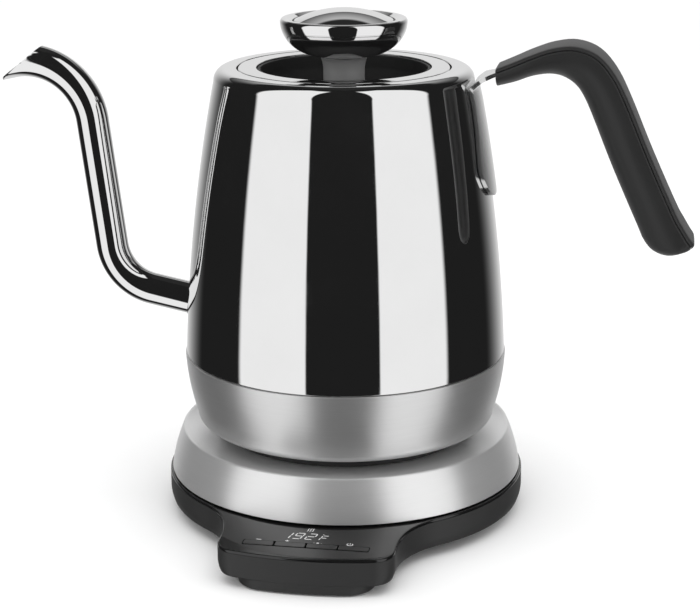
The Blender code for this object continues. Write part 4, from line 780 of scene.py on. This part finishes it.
def lid():
    turned("lid_top_ring", "lid", "polished_steel", [
        (35.9, 0.0, 0.35), (43.0, 0.0), (43.5, -0.5, 0.3), (43.5, -8.1, 0.2), (42.5, -8.1, 0.2),
        (42.5, -1.2, 0.3), (37.1, -1.2, 0.3), (37.1, -4.6, 0.2), (35.9, -4.6, 0.2),
    ], ["lid_ring"], TOP, STEPS_BIG)
    turned("lid_recess", "lid", "black_plastic", [
        (34.3, -0.6, 0.3), (35.6, -0.6, 0.3), (35.6, -6.2), (33.2, -22.1, 4.4), (5.2, -22.1),
        (5.2, -20.8, 0.3), (31.9, -20.8, 3.6), (34.3, -6.2, 1.0),
    ], ["lid_bowl"], TOP, STEPS_BIG)
    turned("lid_seal", "lid", "silicone", [
        (40.7, -8.4, 0.3), (43.4, -8.4, 0.3), (43.4, -9.8, 0.3), (40.7, -9.8, 0.3),
    ], ["lid_gasket"], TOP)
    plug = 40.4
    bm = bmesh.new()
    wire(bm, [(37.1, -5.4, 0.2), (42.2, -5.4, 0.2), (42.2, -6.8, 0.2), (plug, -6.8),
              (plug, -28.3, 0.8), (5.2, -28.3), (5.2, -26.9), (plug - 1.4, -26.9, 0.4),
              (plug - 1.4, -6.8), (37.1, -6.8)], TOP, True)
    spin_round(bm, STEPS_MID)
    obj = settle(bm, "lid_plug_shell", FINISHES["black_plastic"], "lid", ["lid_plug"],
                 False)
    drill(obj, 0.7 * (plug - 1.4), 5, -32.0, -25.5)


def drill(obj, circle, count, low, high):
    """Round steam holes through a flat floor, cut with a set of pins."""
    bm = bmesh.new()
    for index in range(count):
        angle = math.pi / 2.0 + math.tau * index / count
        spot = Vector((circle * math.cos(angle), circle * math.sin(angle), TOP + (low + high) / 2.0))
        bmesh.ops.create_cone(bm, cap_ends=True, segments=32, radius1=3.0 * MM, radius2=3.0 * MM,
                              depth=(high - low) * MM, matrix=Matrix.Translation(spot * MM))
    cut(obj, bm, 40.0)


def flow_knob():
    turned("stem", "flow_knob", "grey_stem", [
        (0.0, 4.2), (9.8, 4.2), (9.2, 3.0, 0.8), (8.5, 0.4, 1.6), (8.5, -20.2, 0.4), (4.6, -20.2),
        (4.6, -24.8), (3.0, -24.8), (3.0, -26.6), (1.8, -26.6), (1.8, -20.9), (0.0, -20.9),
    ], ["knob_stem"], TOP)
    waist, rim, low = 9.8, 18.7, 4.6
    profile = [(0.0, 5.9), (waist, 5.9), (20.9, 13.2), (20.9, CAP_LOW, 0.25), (23.8, 20.1, 0.8),
               (25.4, 19.7, 0.35)]
    profile.append((KNOB_RADIUS, rim))
    for step in range(1, 27):
        angle = math.radians(90.0 * step / 26)
        profile.append((waist + (KNOB_RADIUS - waist) * math.cos(angle),
                        rim - (rim - low) * math.sin(angle)))
    profile.append((0.0, low))
    turned("knob_cup", "flow_knob", "polished_steel", profile, ["knob_bowl"], TOP, STEPS_MID)
    rise = CAP_TOP - CAP_LOW
    dome = (CAP_RADIUS ** 2 + rise ** 2) / (2.0 * rise)
    spread = math.degrees(math.asin(CAP_RADIUS / dome))
    cap = arc((0.0, CAP_TOP - dome), dome, 90.0, 90.0 - spread, 18)
    cap[0] = (0.0, CAP_TOP)
    cap[-1] = (*cap[-1], 0.3)
    cap += [(CAP_RADIUS, 13.5), (0.0, 13.5)]
    turned("knob_dome", "flow_knob", "polished_steel", cap, ["knob_cap"], TOP, STEPS_MID)
    bm = bmesh.new()
    wire(bm, [(3.3, -25.1), (34.0, -25.1, 0.4), (34.0, -26.3, 0.4), (3.3, -26.3)], TOP, True)
    spin_round(bm, STEPS_MID)
    obj = settle(bm, "flow_plate", FINISHES["black_plastic"], "flow_knob", ["flow_disc"],
                 False)
    drill(obj, 27.3, 3, -29.0, -22.0)


# ---------------------------------------------------------------- base

def outline(radius, half_width, front, corner, fillet, inset=0.0):
    """Counter-clockwise from the nose's front: a circle with a nose along -Y."""
    ring = radius - inset
    width = half_width - inset
    crown = NOSE_CROWN - inset
    tip = corner - inset
    hollow = fillet + inset
    hollow_x = width + hollow
    hollow_y = -math.sqrt((ring + hollow) ** 2 - hollow_x ** 2)
    crown_y = crown - (front - inset)
    tip_x = width - tip
    tip_y = crown_y - math.sqrt((crown - tip) ** 2 - tip_x ** 2)
    tip_angle = math.degrees(math.atan2(tip_y - crown_y, tip_x))
    join = math.degrees(math.atan2(hollow_y, hollow_x))
    right = arc((0.0, crown_y), crown, -90.0, tip_angle, 8)
    right += arc((tip_x, tip_y), tip, tip_angle, 0.0, 10)[1:]
    right += arc((hollow_x, hollow_y), hollow, 180.0, 180.0 + join, 14)
    right += arc((0.0, 0.0), ring, join, 90.0, 60)[1:]
    return right + [(-x, y) for x, y in reversed(right[1:-1])]


def nose(inset=0.0):
    return outline(HOUSING_RADIUS, NOSE_HALF_WIDTH, NOSE_FRONT, NOSE_CORNER, NOSE_FILLET, inset)


def chin(inset=0.0):
    return outline(HOUSING_RADIUS - CHIN_INSET, CHIN_HALF_WIDTH, NOSE_FRONT - 0.2, CHIN_CORNER,
                   NOSE_FILLET + CHIN_INSET, inset)


def tuck(inset=0.0):
    return outline(HOUSING_RADIUS - 1.0, NOSE_HALF_WIDTH - 1.0, NOSE_FRONT - 0.1, NOSE_CORNER,
                   NOSE_FILLET + 1.0, inset)


def shelf(share):
    """Underside between the wall's lower edge and the chin. It rises where the chin is set in
    and stays level where the two meet at the nose's front."""
    made = []
    for (x0, y0), (x1, y1) in zip(tuck(), chin()):
        rise = SHELF_RISE * share * min(1.0, math.hypot(x1 - x0, y1 - y0) / CHIN_INSET)
        made.append((x0 + (x1 - x0) * share, y0 + (y1 - y0) * share, TUCK_LOW + rise))
    return made


def mix(first, second, share):
    return [(a + (c - a) * share, b + (d - b) * share) for (a, b), (c, d) in zip(first, second)]


def fall(y):
    """How far the nose's top has fallen at a given y, with a soft start."""
    run = max(0.0, -y - NOSE_HINGE)
    soft = 5.0
    return NOSE_SLOPE * (run * run / (2.0 * soft) if run < soft else run - soft / 2.0)


def level(points, z, sloped=True):
    return [(x, y, z - (fall(y) if sloped else 0.0)) for x, y in points]


def base_housing():
    rows = [
        level(nose(0.6), HOUSING_TOP), level(nose(0.22), HOUSING_TOP),
        level(nose(0.07), HOUSING_TOP - 0.07), level(nose(0.01), HOUSING_TOP - 0.22),
        level(nose(), HOUSING_TOP - 0.6), level(nose(), 11.8, False), level(nose(), 9.0, False),
        level(mix(nose(), tuck(), 0.15), 7.8, False), level(mix(nose(), tuck(), 0.42), 6.6, False),
        level(mix(nose(), tuck(), 0.80), 5.5, False), level(tuck(), TUCK_LOW + 0.25, False),
        shelf(0.03), shelf(0.5), shelf(0.97),
        level(chin(), 4.3, False), level(chin(), 2.2, False), level(chin(), CHIN_LOW + 0.8, False),
        level(chin(0.12), CHIN_LOW + 0.35, False), level(chin(0.4), CHIN_LOW + 0.08, False),
        level(chin(0.8), CHIN_LOW, False), level(chin(HOUSING_WALL), CHIN_LOW, False),
        level(chin(HOUSING_WALL), 6.9, False), level(tuck(HOUSING_WALL), 6.1, False),
        level(nose(HOUSING_WALL), 8.6, False), level(nose(HOUSING_WALL), HOUSING_TOP),
    ]
    bm = bmesh.new()
    skin(bm, rows, closed=True)
    settle(bm, "base_body", FINISHES["black_plastic"], "base", ["base_housing"])


def ring_of(points, radius):
    return [(radius * x / math.hypot(x, y), radius * y / math.hypot(x, y)) for x, y in points]


def control_panel():
    """Gloss trim round the cover that widens into the nose's panel, with a slot for the keys."""
    low = HOUSING_TOP + 0.08
    hole = ring_of(nose(0.15), PANEL_HOLE)
    rows = [
        level(nose(0.30), low), level(nose(0.10), low + 0.05), level(nose(0.05), low + 0.20),
        level(nose(0.08), PANEL_TOP - 0.40), level(nose(0.25), PANEL_TOP - 0.15),
        level(nose(0.52), PANEL_TOP - 0.02), level(nose(0.9), PANEL_TOP),
    ]
    rows += [level(mix(nose(0.9), hole, share), PANEL_TOP) for share in (0.05, 0.15, 0.35, 0.6, 0.85)]
    rows += [level(hole, PANEL_TOP), level(hole, low)]
    bm = bmesh.new()
    skin(bm, rows, closed=True)
    obj = settle(bm, "control_panel_gloss", FINISHES["gloss_panel"], "base", ["control_panel"],
                 False)
    bm = bmesh.new()
    slot = (4.0 * KEY_PITCH, KEY_DEPTH + 2.0 * GAP, 10.0)
    block(bm, slot, KEY_CORNER + 0.1)
    bmesh.ops.translate(bm, vec=Vector((0.0, -KEY_ROW, PANEL_TOP)) * MM, verts=bm.verts)
    cut(obj, bm, 30.0)


def keys():
    """Four flat keys whose tops follow the panel, each with a plunger under it."""
    for place, name in enumerate(("minus", "plus", "hold", "power")):
        x = (place - 1.5) * KEY_PITCH
        bm = bmesh.new()
        block(bm, (KEY_WIDTH, KEY_DEPTH, KEY_TALL), KEY_CORNER)
        bmesh.ops.translate(bm, vec=(0.0, 0.0, KEY_TALL / 2.0 * MM), verts=bm.verts)
        rim = [edge for edge in bm.edges
               if all(vert.co.z > (KEY_TALL - 0.1) * MM for vert in edge.verts)]
        round_edges(bm, rim, 0.32, 4)
        under = [face for face in bm.faces if face.calc_center_median().z < 0.1 * MM]
        bmesh.ops.inset_region(bm, faces=under, thickness=1.0 * MM, use_even_offset=True)
        made = bmesh.ops.extrude_face_region(bm, geom=under)
        fresh = [item for item in made["geom"] if isinstance(item, bmesh.types.BMVert)]
        bmesh.ops.translate(bm, vec=(0.0, 0.0, -1.7 * MM), verts=fresh)
        bmesh.ops.delete(bm, geom=under, context="FACES")
        for vert in bm.verts:
            if vert.co.z > 0.0:
                vert.co.z += NOSE_SLOPE * vert.co.y
        height = PANEL_TOP - NOSE_SLOPE * (KEY_ROW - NOSE_HINGE) + KEY_PROUD - KEY_TALL
        bmesh.ops.translate(bm, vec=Vector((x, -KEY_ROW, height)) * MM, verts=bm.verts)
        settle(bm, name + "_cap", FINISHES["gloss_panel"], name, [name + "_key"])


def mark(name, strokes, look):
    """Flat marks just proud of the panel. A stroke is two ends and a width, in mm."""
    bm = bmesh.new()
    for x0, y0, x1, y1, width in strokes:
        first, second = Vector((x0, y0, 0.0)), Vector((x1, y1, 0.0))
        run = second - first
        pose = Matrix.Translation((first + second) / 2.0) @ Matrix.Rotation(
            math.atan2(run.y, run.x), 4, "Z") @ Matrix.Diagonal((run.length, width, 0.06, 1.0))
        made = bmesh.ops.create_cube(bm, size=1.0, matrix=pose)
        ends = [edge for edge in {e for v in made["verts"] for e in v.link_edges}
                if abs(edge.verts[0].co.z - edge.verts[1].co.z) > 0.01]
        bmesh.ops.bevel(bm, geom=ends, offset=width * 0.3, offset_type="OFFSET", segments=2,
                        profile=0.5, affect="EDGES", material=-1)
    for vert in bm.verts:
        vert.co = Vector((vert.co.x, vert.co.y, PANEL_TOP - fall(vert.co.y) + 0.02 + vert.co.z)) * MM
    settle(bm, name, look, "base", [], False)


SEGMENTS = {
    "top": (0.0, 1.0, 1.0, 1.0), "middle": (0.0, 0.5, 1.0, 0.5), "bottom": (0.0, 0.0, 1.0, 0.0),
    "upper_left": (0.0, 0.5, 0.0, 1.0), "upper_right": (1.0, 0.5, 1.0, 1.0),
    "lower_left": (0.0, 0.0, 0.0, 0.5), "lower_right": (1.0, 0.0, 1.0, 0.5),
}
DIGITS = {
    "1": ("upper_right", "lower_right"),
    "9": ("top", "middle", "bottom", "upper_left", "upper_right", "lower_right"),
    "2": ("top", "middle", "bottom", "upper_right", "lower_left"),
    "F": ("top", "middle", "upper_left", "lower_left"),
}


def display():
    """Seven-segment reading, a heating sign above it, and a sign behind each key."""
    wide, tall, slant, gap = 3.1, 4.9, 0.32, 0.24
    strokes = []
    for digit, left, size in (("1", -11.3, 1.0), ("9", -6.6, 1.0), ("2", -1.7, 1.0), ("F", 4.0, 0.78)):
        for segment in DIGITS[digit]:
            x0, y0, x1, y1 = SEGMENTS[segment]
            low = -86.2
            ends = []
            for share_x, share_y in ((x0, y0), (x1, y1)):
                y = share_y * tall * size
                ends.append((left + share_x * wide * size + slant * y, low + y))
            first, second = Vector(ends[0]), Vector(ends[1])
            trim = (second - first).normalized() * gap
            first, second = first + trim, second - trim
            strokes.append((first.x, first.y, second.x, second.y, 0.40 * size))
    strokes.append((5.0, -81.4, 5.45, -81.4, 0.40))
    mark("reading", strokes, DIGIT_LIGHT)
    waves = []
    for index in range(3):
        x = -1.9 + index * 1.0
        waves += [(x, -79.3, x + 0.45, -78.5, 0.26), (x + 0.45, -78.5, x + 0.2, -77.6, 0.26),
                  (x + 0.2, -77.6, x + 0.7, -76.8, 0.26)]
    mark("heating_sign", waves, DIGIT_LIGHT)
    signs = [(-20.3, -88.8, -18.3, -88.8, 0.30), (-8.8, -88.6, -7.2, -88.6, 0.28),
             (-8.0, -87.9, -8.0, -89.3, 0.28), (3.7, -88.9, 4.7, -88.9, 0.60),
             (2.6, -88.9, 2.9, -88.9, 0.26), (5.5, -88.9, 5.8, -88.9, 0.26)]
    count = 10
    for index in range(count):
        first = math.radians(125.0 + 290.0 * index / count)
        second = math.radians(125.0 + 290.0 * (index + 1) / count)
        signs.append((16.9 + 1.2 * math.cos(first), -88.4 + 0.9 * math.sin(first),
                      16.9 + 1.2 * math.cos(second), -88.4 + 0.9 * math.sin(second), 0.26))
    signs.append((16.9, -87.3, 16.9, -88.3, 0.26))
    mark("key_signs", signs, DIGIT_LIGHT)


def base_cover():
    crest = CREST_RADIUS
    dish = DISH_LEVEL
    wide = 61.0
    bore = 16.2
    profile = [(bore, dish, 0.2), (wide, dish, 1.4), (wide + 3.9, dish + 0.6, 1.4),
               (crest - COVER_LIP, COVER_CREST, 0.45), (crest - 0.3, COVER_CREST, 0.25)]
    rows = 10
    wall = []
    for row in range(rows + 1):
        share = row / rows
        z = COVER_CREST - 0.4 + (COVER_LOW - COVER_CREST + 0.4) * share
        wall.append((crest + COVER_FLARE * share + COVER_BOW * share * (1.0 - share), z))
    profile += [(*wall[0], 0.12)] + wall[1:-1] + [(*wall[-1], 0.3)]
    profile += [(wall[-1][0] - COVER_WALL, wall[-1][1], 0.3)]
    profile += [(radius - COVER_WALL, z) for radius, z in reversed(wall[1:-1])]
    profile += [(crest - COVER_WALL, COVER_CREST - COVER_WALL),
                (crest - COVER_LIP - 0.3, COVER_CREST - COVER_WALL),
                (wide, dish - COVER_WALL), (bore, dish - COVER_WALL, 0.2)]
    obj = turned("cover_brushed", "base", "brushed_steel", profile, ["base_cover"], 0.0, STEPS_BIG)
    # The cover takes the lighter copy of brushed steel, whose raised colour is painted light.
    obj.data.materials[0] = FINISHES["brushed_cover"]


def base_connector():
    turned("connector_post", "base", "black_plastic", [
        (0.0, 47.0), (8.0, 47.0, 1.4), (8.0, 42.3, 0.15), (6.8, 42.3), (6.8, 40.3), (8.0, 40.3, 0.15),
        (8.0, 35.0), (15.6, 35.0, 0.5), (15.6, 32.7), (22.0, 32.7, 0.3), (22.0, 30.5), (12.0, 30.5),
        (12.0, 23.5), (0.0, 23.5),
    ], ["base_connector"], 0.0, 96)
    contact("post_ring", "base", 7.1, "base_contact")


def screw(name, node, body, at, low, length, shank, head, head_t):
    """Pan-head screw with a six-lobed recess, its head at the bottom."""
    deep = head_t * 0.6
    bm = bmesh.new()
    wire(bm, [(0.0, length), (shank, length, 0.2), (shank, head_t), (head, head_t, 0.12),
              (head, 0.0, head_t * 0.5), (head * 0.46, 0.0, 0.06), (head * 0.40, deep),
              (0.0, deep)], low)
    spin_round(bm, STEPS_SMALL)
    for vert in bm.verts:
        radius = vert.co.xy.length
        if radius < head * 0.5 * MM and vert.co.z < (low + head_t * 0.9) * MM:
            lobes = 1.0 + 0.16 * math.cos(6.0 * math.atan2(vert.co.y, vert.co.x))
            vert.co.x *= lobes
            vert.co.y *= lobes
    bmesh.ops.translate(bm, vec=Vector((at[0] * MM, at[1] * MM, 0.0)), verts=bm.verts)
    settle(bm, name, FINISHES["plain_steel"], body, [node])


def fixings():
    """Every screw and foot stands where its solid does."""
    for node, body, shank, head, head_t in (
            ("bottom_screw_1", "kettle", 1.5, 2.9, 1.3), ("bottom_screw_2", "kettle", 1.5, 2.9, 1.3),
            ("bottom_screw_3", "kettle", 1.5, 2.9, 1.3), ("base_screw_1", "base", 1.5, 2.9, 0.8),
            ("base_screw_2", "base", 1.5, 2.9, 0.8), ("base_screw_3", "base", 1.5, 2.9, 0.8),
            ("grip_screw_1", "kettle", 1.2, 2.2, 1.3), ("grip_screw_2", "kettle", 1.2, 2.2, 1.3),
            ("knob_screw_1", "flow_knob", 1.5, 2.9, 1.3)):
        low, high = (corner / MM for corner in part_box(node))
        centre = (low + high) / 2.0
        screw(node + "_turned", node, body, (centre.x, centre.y), low.z, high.z - low.z,
              shank, head, head_t)
    for node in ("foot_rear_right", "foot_rear_left", "foot_front_right", "foot_front_left"):
        low, high = (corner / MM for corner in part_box(node))
        centre = (low + high) / 2.0
        turned(node + "_pad", "base", "rubber", [
            (0.0, 5.2), (1.4, 5.2, 0.3), (1.4, 1.2), (6.0, 1.2, 0.3), (6.0, 0.0, 0.5), (4.4, 0.0, 0.3),
            (4.0, 0.3, 0.2), (0.0, 0.3),
        ], [node], 0.0, STEPS_SMALL, (centre.x, centre.y))


def gland():
    """Rubber sleeve at the back that the mains cord comes through."""
    low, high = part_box("cord_gland")
    centre = (low + high) / 2.0
    size = high - low
    bm = bmesh.new()
    bmesh.ops.create_cube(bm, size=1.0, matrix=Matrix.Translation(centre)
                          @ Matrix.Diagonal((size.x, size.y, size.z, 1.0)))
    long_edges = [edge for edge in bm.edges if abs(edge.verts[0].co.y - edge.verts[1].co.y) > MM]
    round_edges(bm, long_edges, 1.4, 6)
    ends = [face for face in bm.faces if len(face.verts) > 4]
    bmesh.ops.inset_region(bm, faces=ends, thickness=0.75 * MM, use_even_offset=True)
    bmesh.ops.delete(bm, geom=ends, context="FACES")
    rims = [edge for edge in bm.edges if edge.is_boundary]
    bmesh.ops.bridge_loops(bm, edges=rims)
    settle(bm, "cord_sleeve", FINISHES["rubber"], "base", ["cord_gland"])


def bottom_plate():
    bm = bmesh.new()
    inset = 2.8
    skin(bm, [level(chin(inset + 0.3), 1.5, False), level(chin(inset), 1.8, False),
              level(chin(inset), 3.5, False)])
    settle(bm, "bottom_plate", FINISHES["black_plastic"], "base", ["base_bottom_plate"])


# ---------------------------------------------------------------- carried-over nodes

def finish_nodes():
    """Every CAD node takes the finish of its own slot in the record."""
    for entry in frame["record"]["subparts"]:
        obj = frame["nodes"][entry["node"]]
        obj.data.materials.clear()
        obj.data.materials.append(FINISHES[entry["material_slot"]])


# ---------------------------------------------------------------- studio

def floor():
    bm = bmesh.new()
    bmesh.ops.create_grid(bm, x_segments=1, y_segments=1, size=8.0)
    obj = link(bm, "floor", finish_of(
        "pale_floor", {"Roughness": 0.6, "Specular IOR Level": 0.0},
        lambda shade: {"Base Color": place_of(shade).noise(2.0).blend(grey(0.925), grey(0.935))}))
    obj.visible_glossy = False


def studio():
    """Pale surroundings for the eye, and for shiny pieces two tall soft lights between dark
    screens, with a grey wall behind."""
    world = bpy.data.worlds.new("studio")
    bpy.context.scene.world = world
    world.use_nodes = True
    tree = world.node_tree
    tree.nodes.clear()
    shade = Shade(tree)
    x, y, z = shade.make("TexCoord").parts()
    flat = (x * x + y * y).math("SQRT") + 0.0001
    turn = VIEW_TURN - math.radians(2.0)
    toward = (x * math.sin(turn) - y * math.cos(turn)) / flat
    angle = toward.math("ARCCOSINE") * (180.0 / math.pi)
    rise = z.math("ARCSINE") * (180.0 / math.pi)
    boxes = angle.smooth(*LIGHT_NEAR) * angle.smooth(*LIGHT_FAR, 1.0, 0.0)
    boxes = boxes * rise.smooth(*LIGHT_TOP, 1.0, 0.0)
    wall = shade.make("ValToRGB", {"stops": WALL_LEVELS}, {0: rise / 90.0})
    seen = boxes * LIGHT_LEVEL + angle.smooth(*WALL_EDGE) * wall + DARK_LEVEL
    glossy_light = shade.make("Background", {}, {"Color": seen, "Strength": 1.0})
    dome_light = shade.make("Background", {}, {"Color": grey(1.0), "Strength": DOME_LEVEL})
    pale_light = shade.make("Background", {}, {"Color": grey(1.0), "Strength": 1.0})
    path = tree.nodes.new("ShaderNodeLightPath")
    is_camera = Shade(tree, path.outputs["Is Camera Ray"])
    is_glossy = Shade(tree, path.outputs["Is Glossy Ray"])
    lit_by = shade.make("MixShader", {}, {0: is_glossy, 1: dome_light, 2: glossy_light})
    whole = shade.make("MixShader", {}, {0: is_camera, 1: lit_by, 2: pale_light})
    output = tree.nodes.new("ShaderNodeOutputWorld")
    tree.links.new(whole.socket, output.inputs["Surface"])

    lamp = bpy.data.lights.new("overhead", "AREA")
    lamp.shape = "DISK"
    lamp.size = LAMP_SIZE
    lamp.energy = LAMP_ENERGY
    overhead = bpy.data.objects.new("overhead", lamp)
    overhead.location = LAMP_AT
    aim = Vector(LAMP_AT) - Vector((0.0, 0.0, 0.1))
    overhead.rotation_euler = aim.to_track_quat("Z", "Y").to_euler()
    overhead.visible_glossy = False
    bpy.context.scene.collection.objects.link(overhead)


def camera():
    data = bpy.data.cameras.new("camera")
    data.lens = LENS
    data.sensor_width = 36.0
    data.clip_start = 0.01
    data.clip_end = 50.0
    obj = bpy.data.objects.new("camera", data)
    obj.location = Vector((VIEW_DISTANCE * math.sin(VIEW_TURN), -VIEW_DISTANCE * math.cos(VIEW_TURN),
                           VIEW_HEIGHT)) * MM
    aim = Euler((math.pi / 2.0 - VIEW_PITCH, 0.0, VIEW_TURN - VIEW_YAW))
    obj.rotation_euler = (aim.to_matrix() @ Matrix.Rotation(-VIEW_ROLL, 3, "Z")).to_euler()
    bpy.context.scene.collection.objects.link(obj)
    bpy.context.scene.camera = obj


def build():
    finish_nodes()
    body_shell()
    lower_band()
    kettle_underside()
    power_socket()
    spout()
    handle_strap()
    grip()
    lid()
    flow_knob()
    base_housing()
    control_panel()
    keys()
    display()
    base_cover()
    base_connector()
    bottom_plate()
    fixings()
    gland()
    floor()
    studio()
    camera()
    bpy.context.scene.view_settings.view_transform = "Standard"


build()
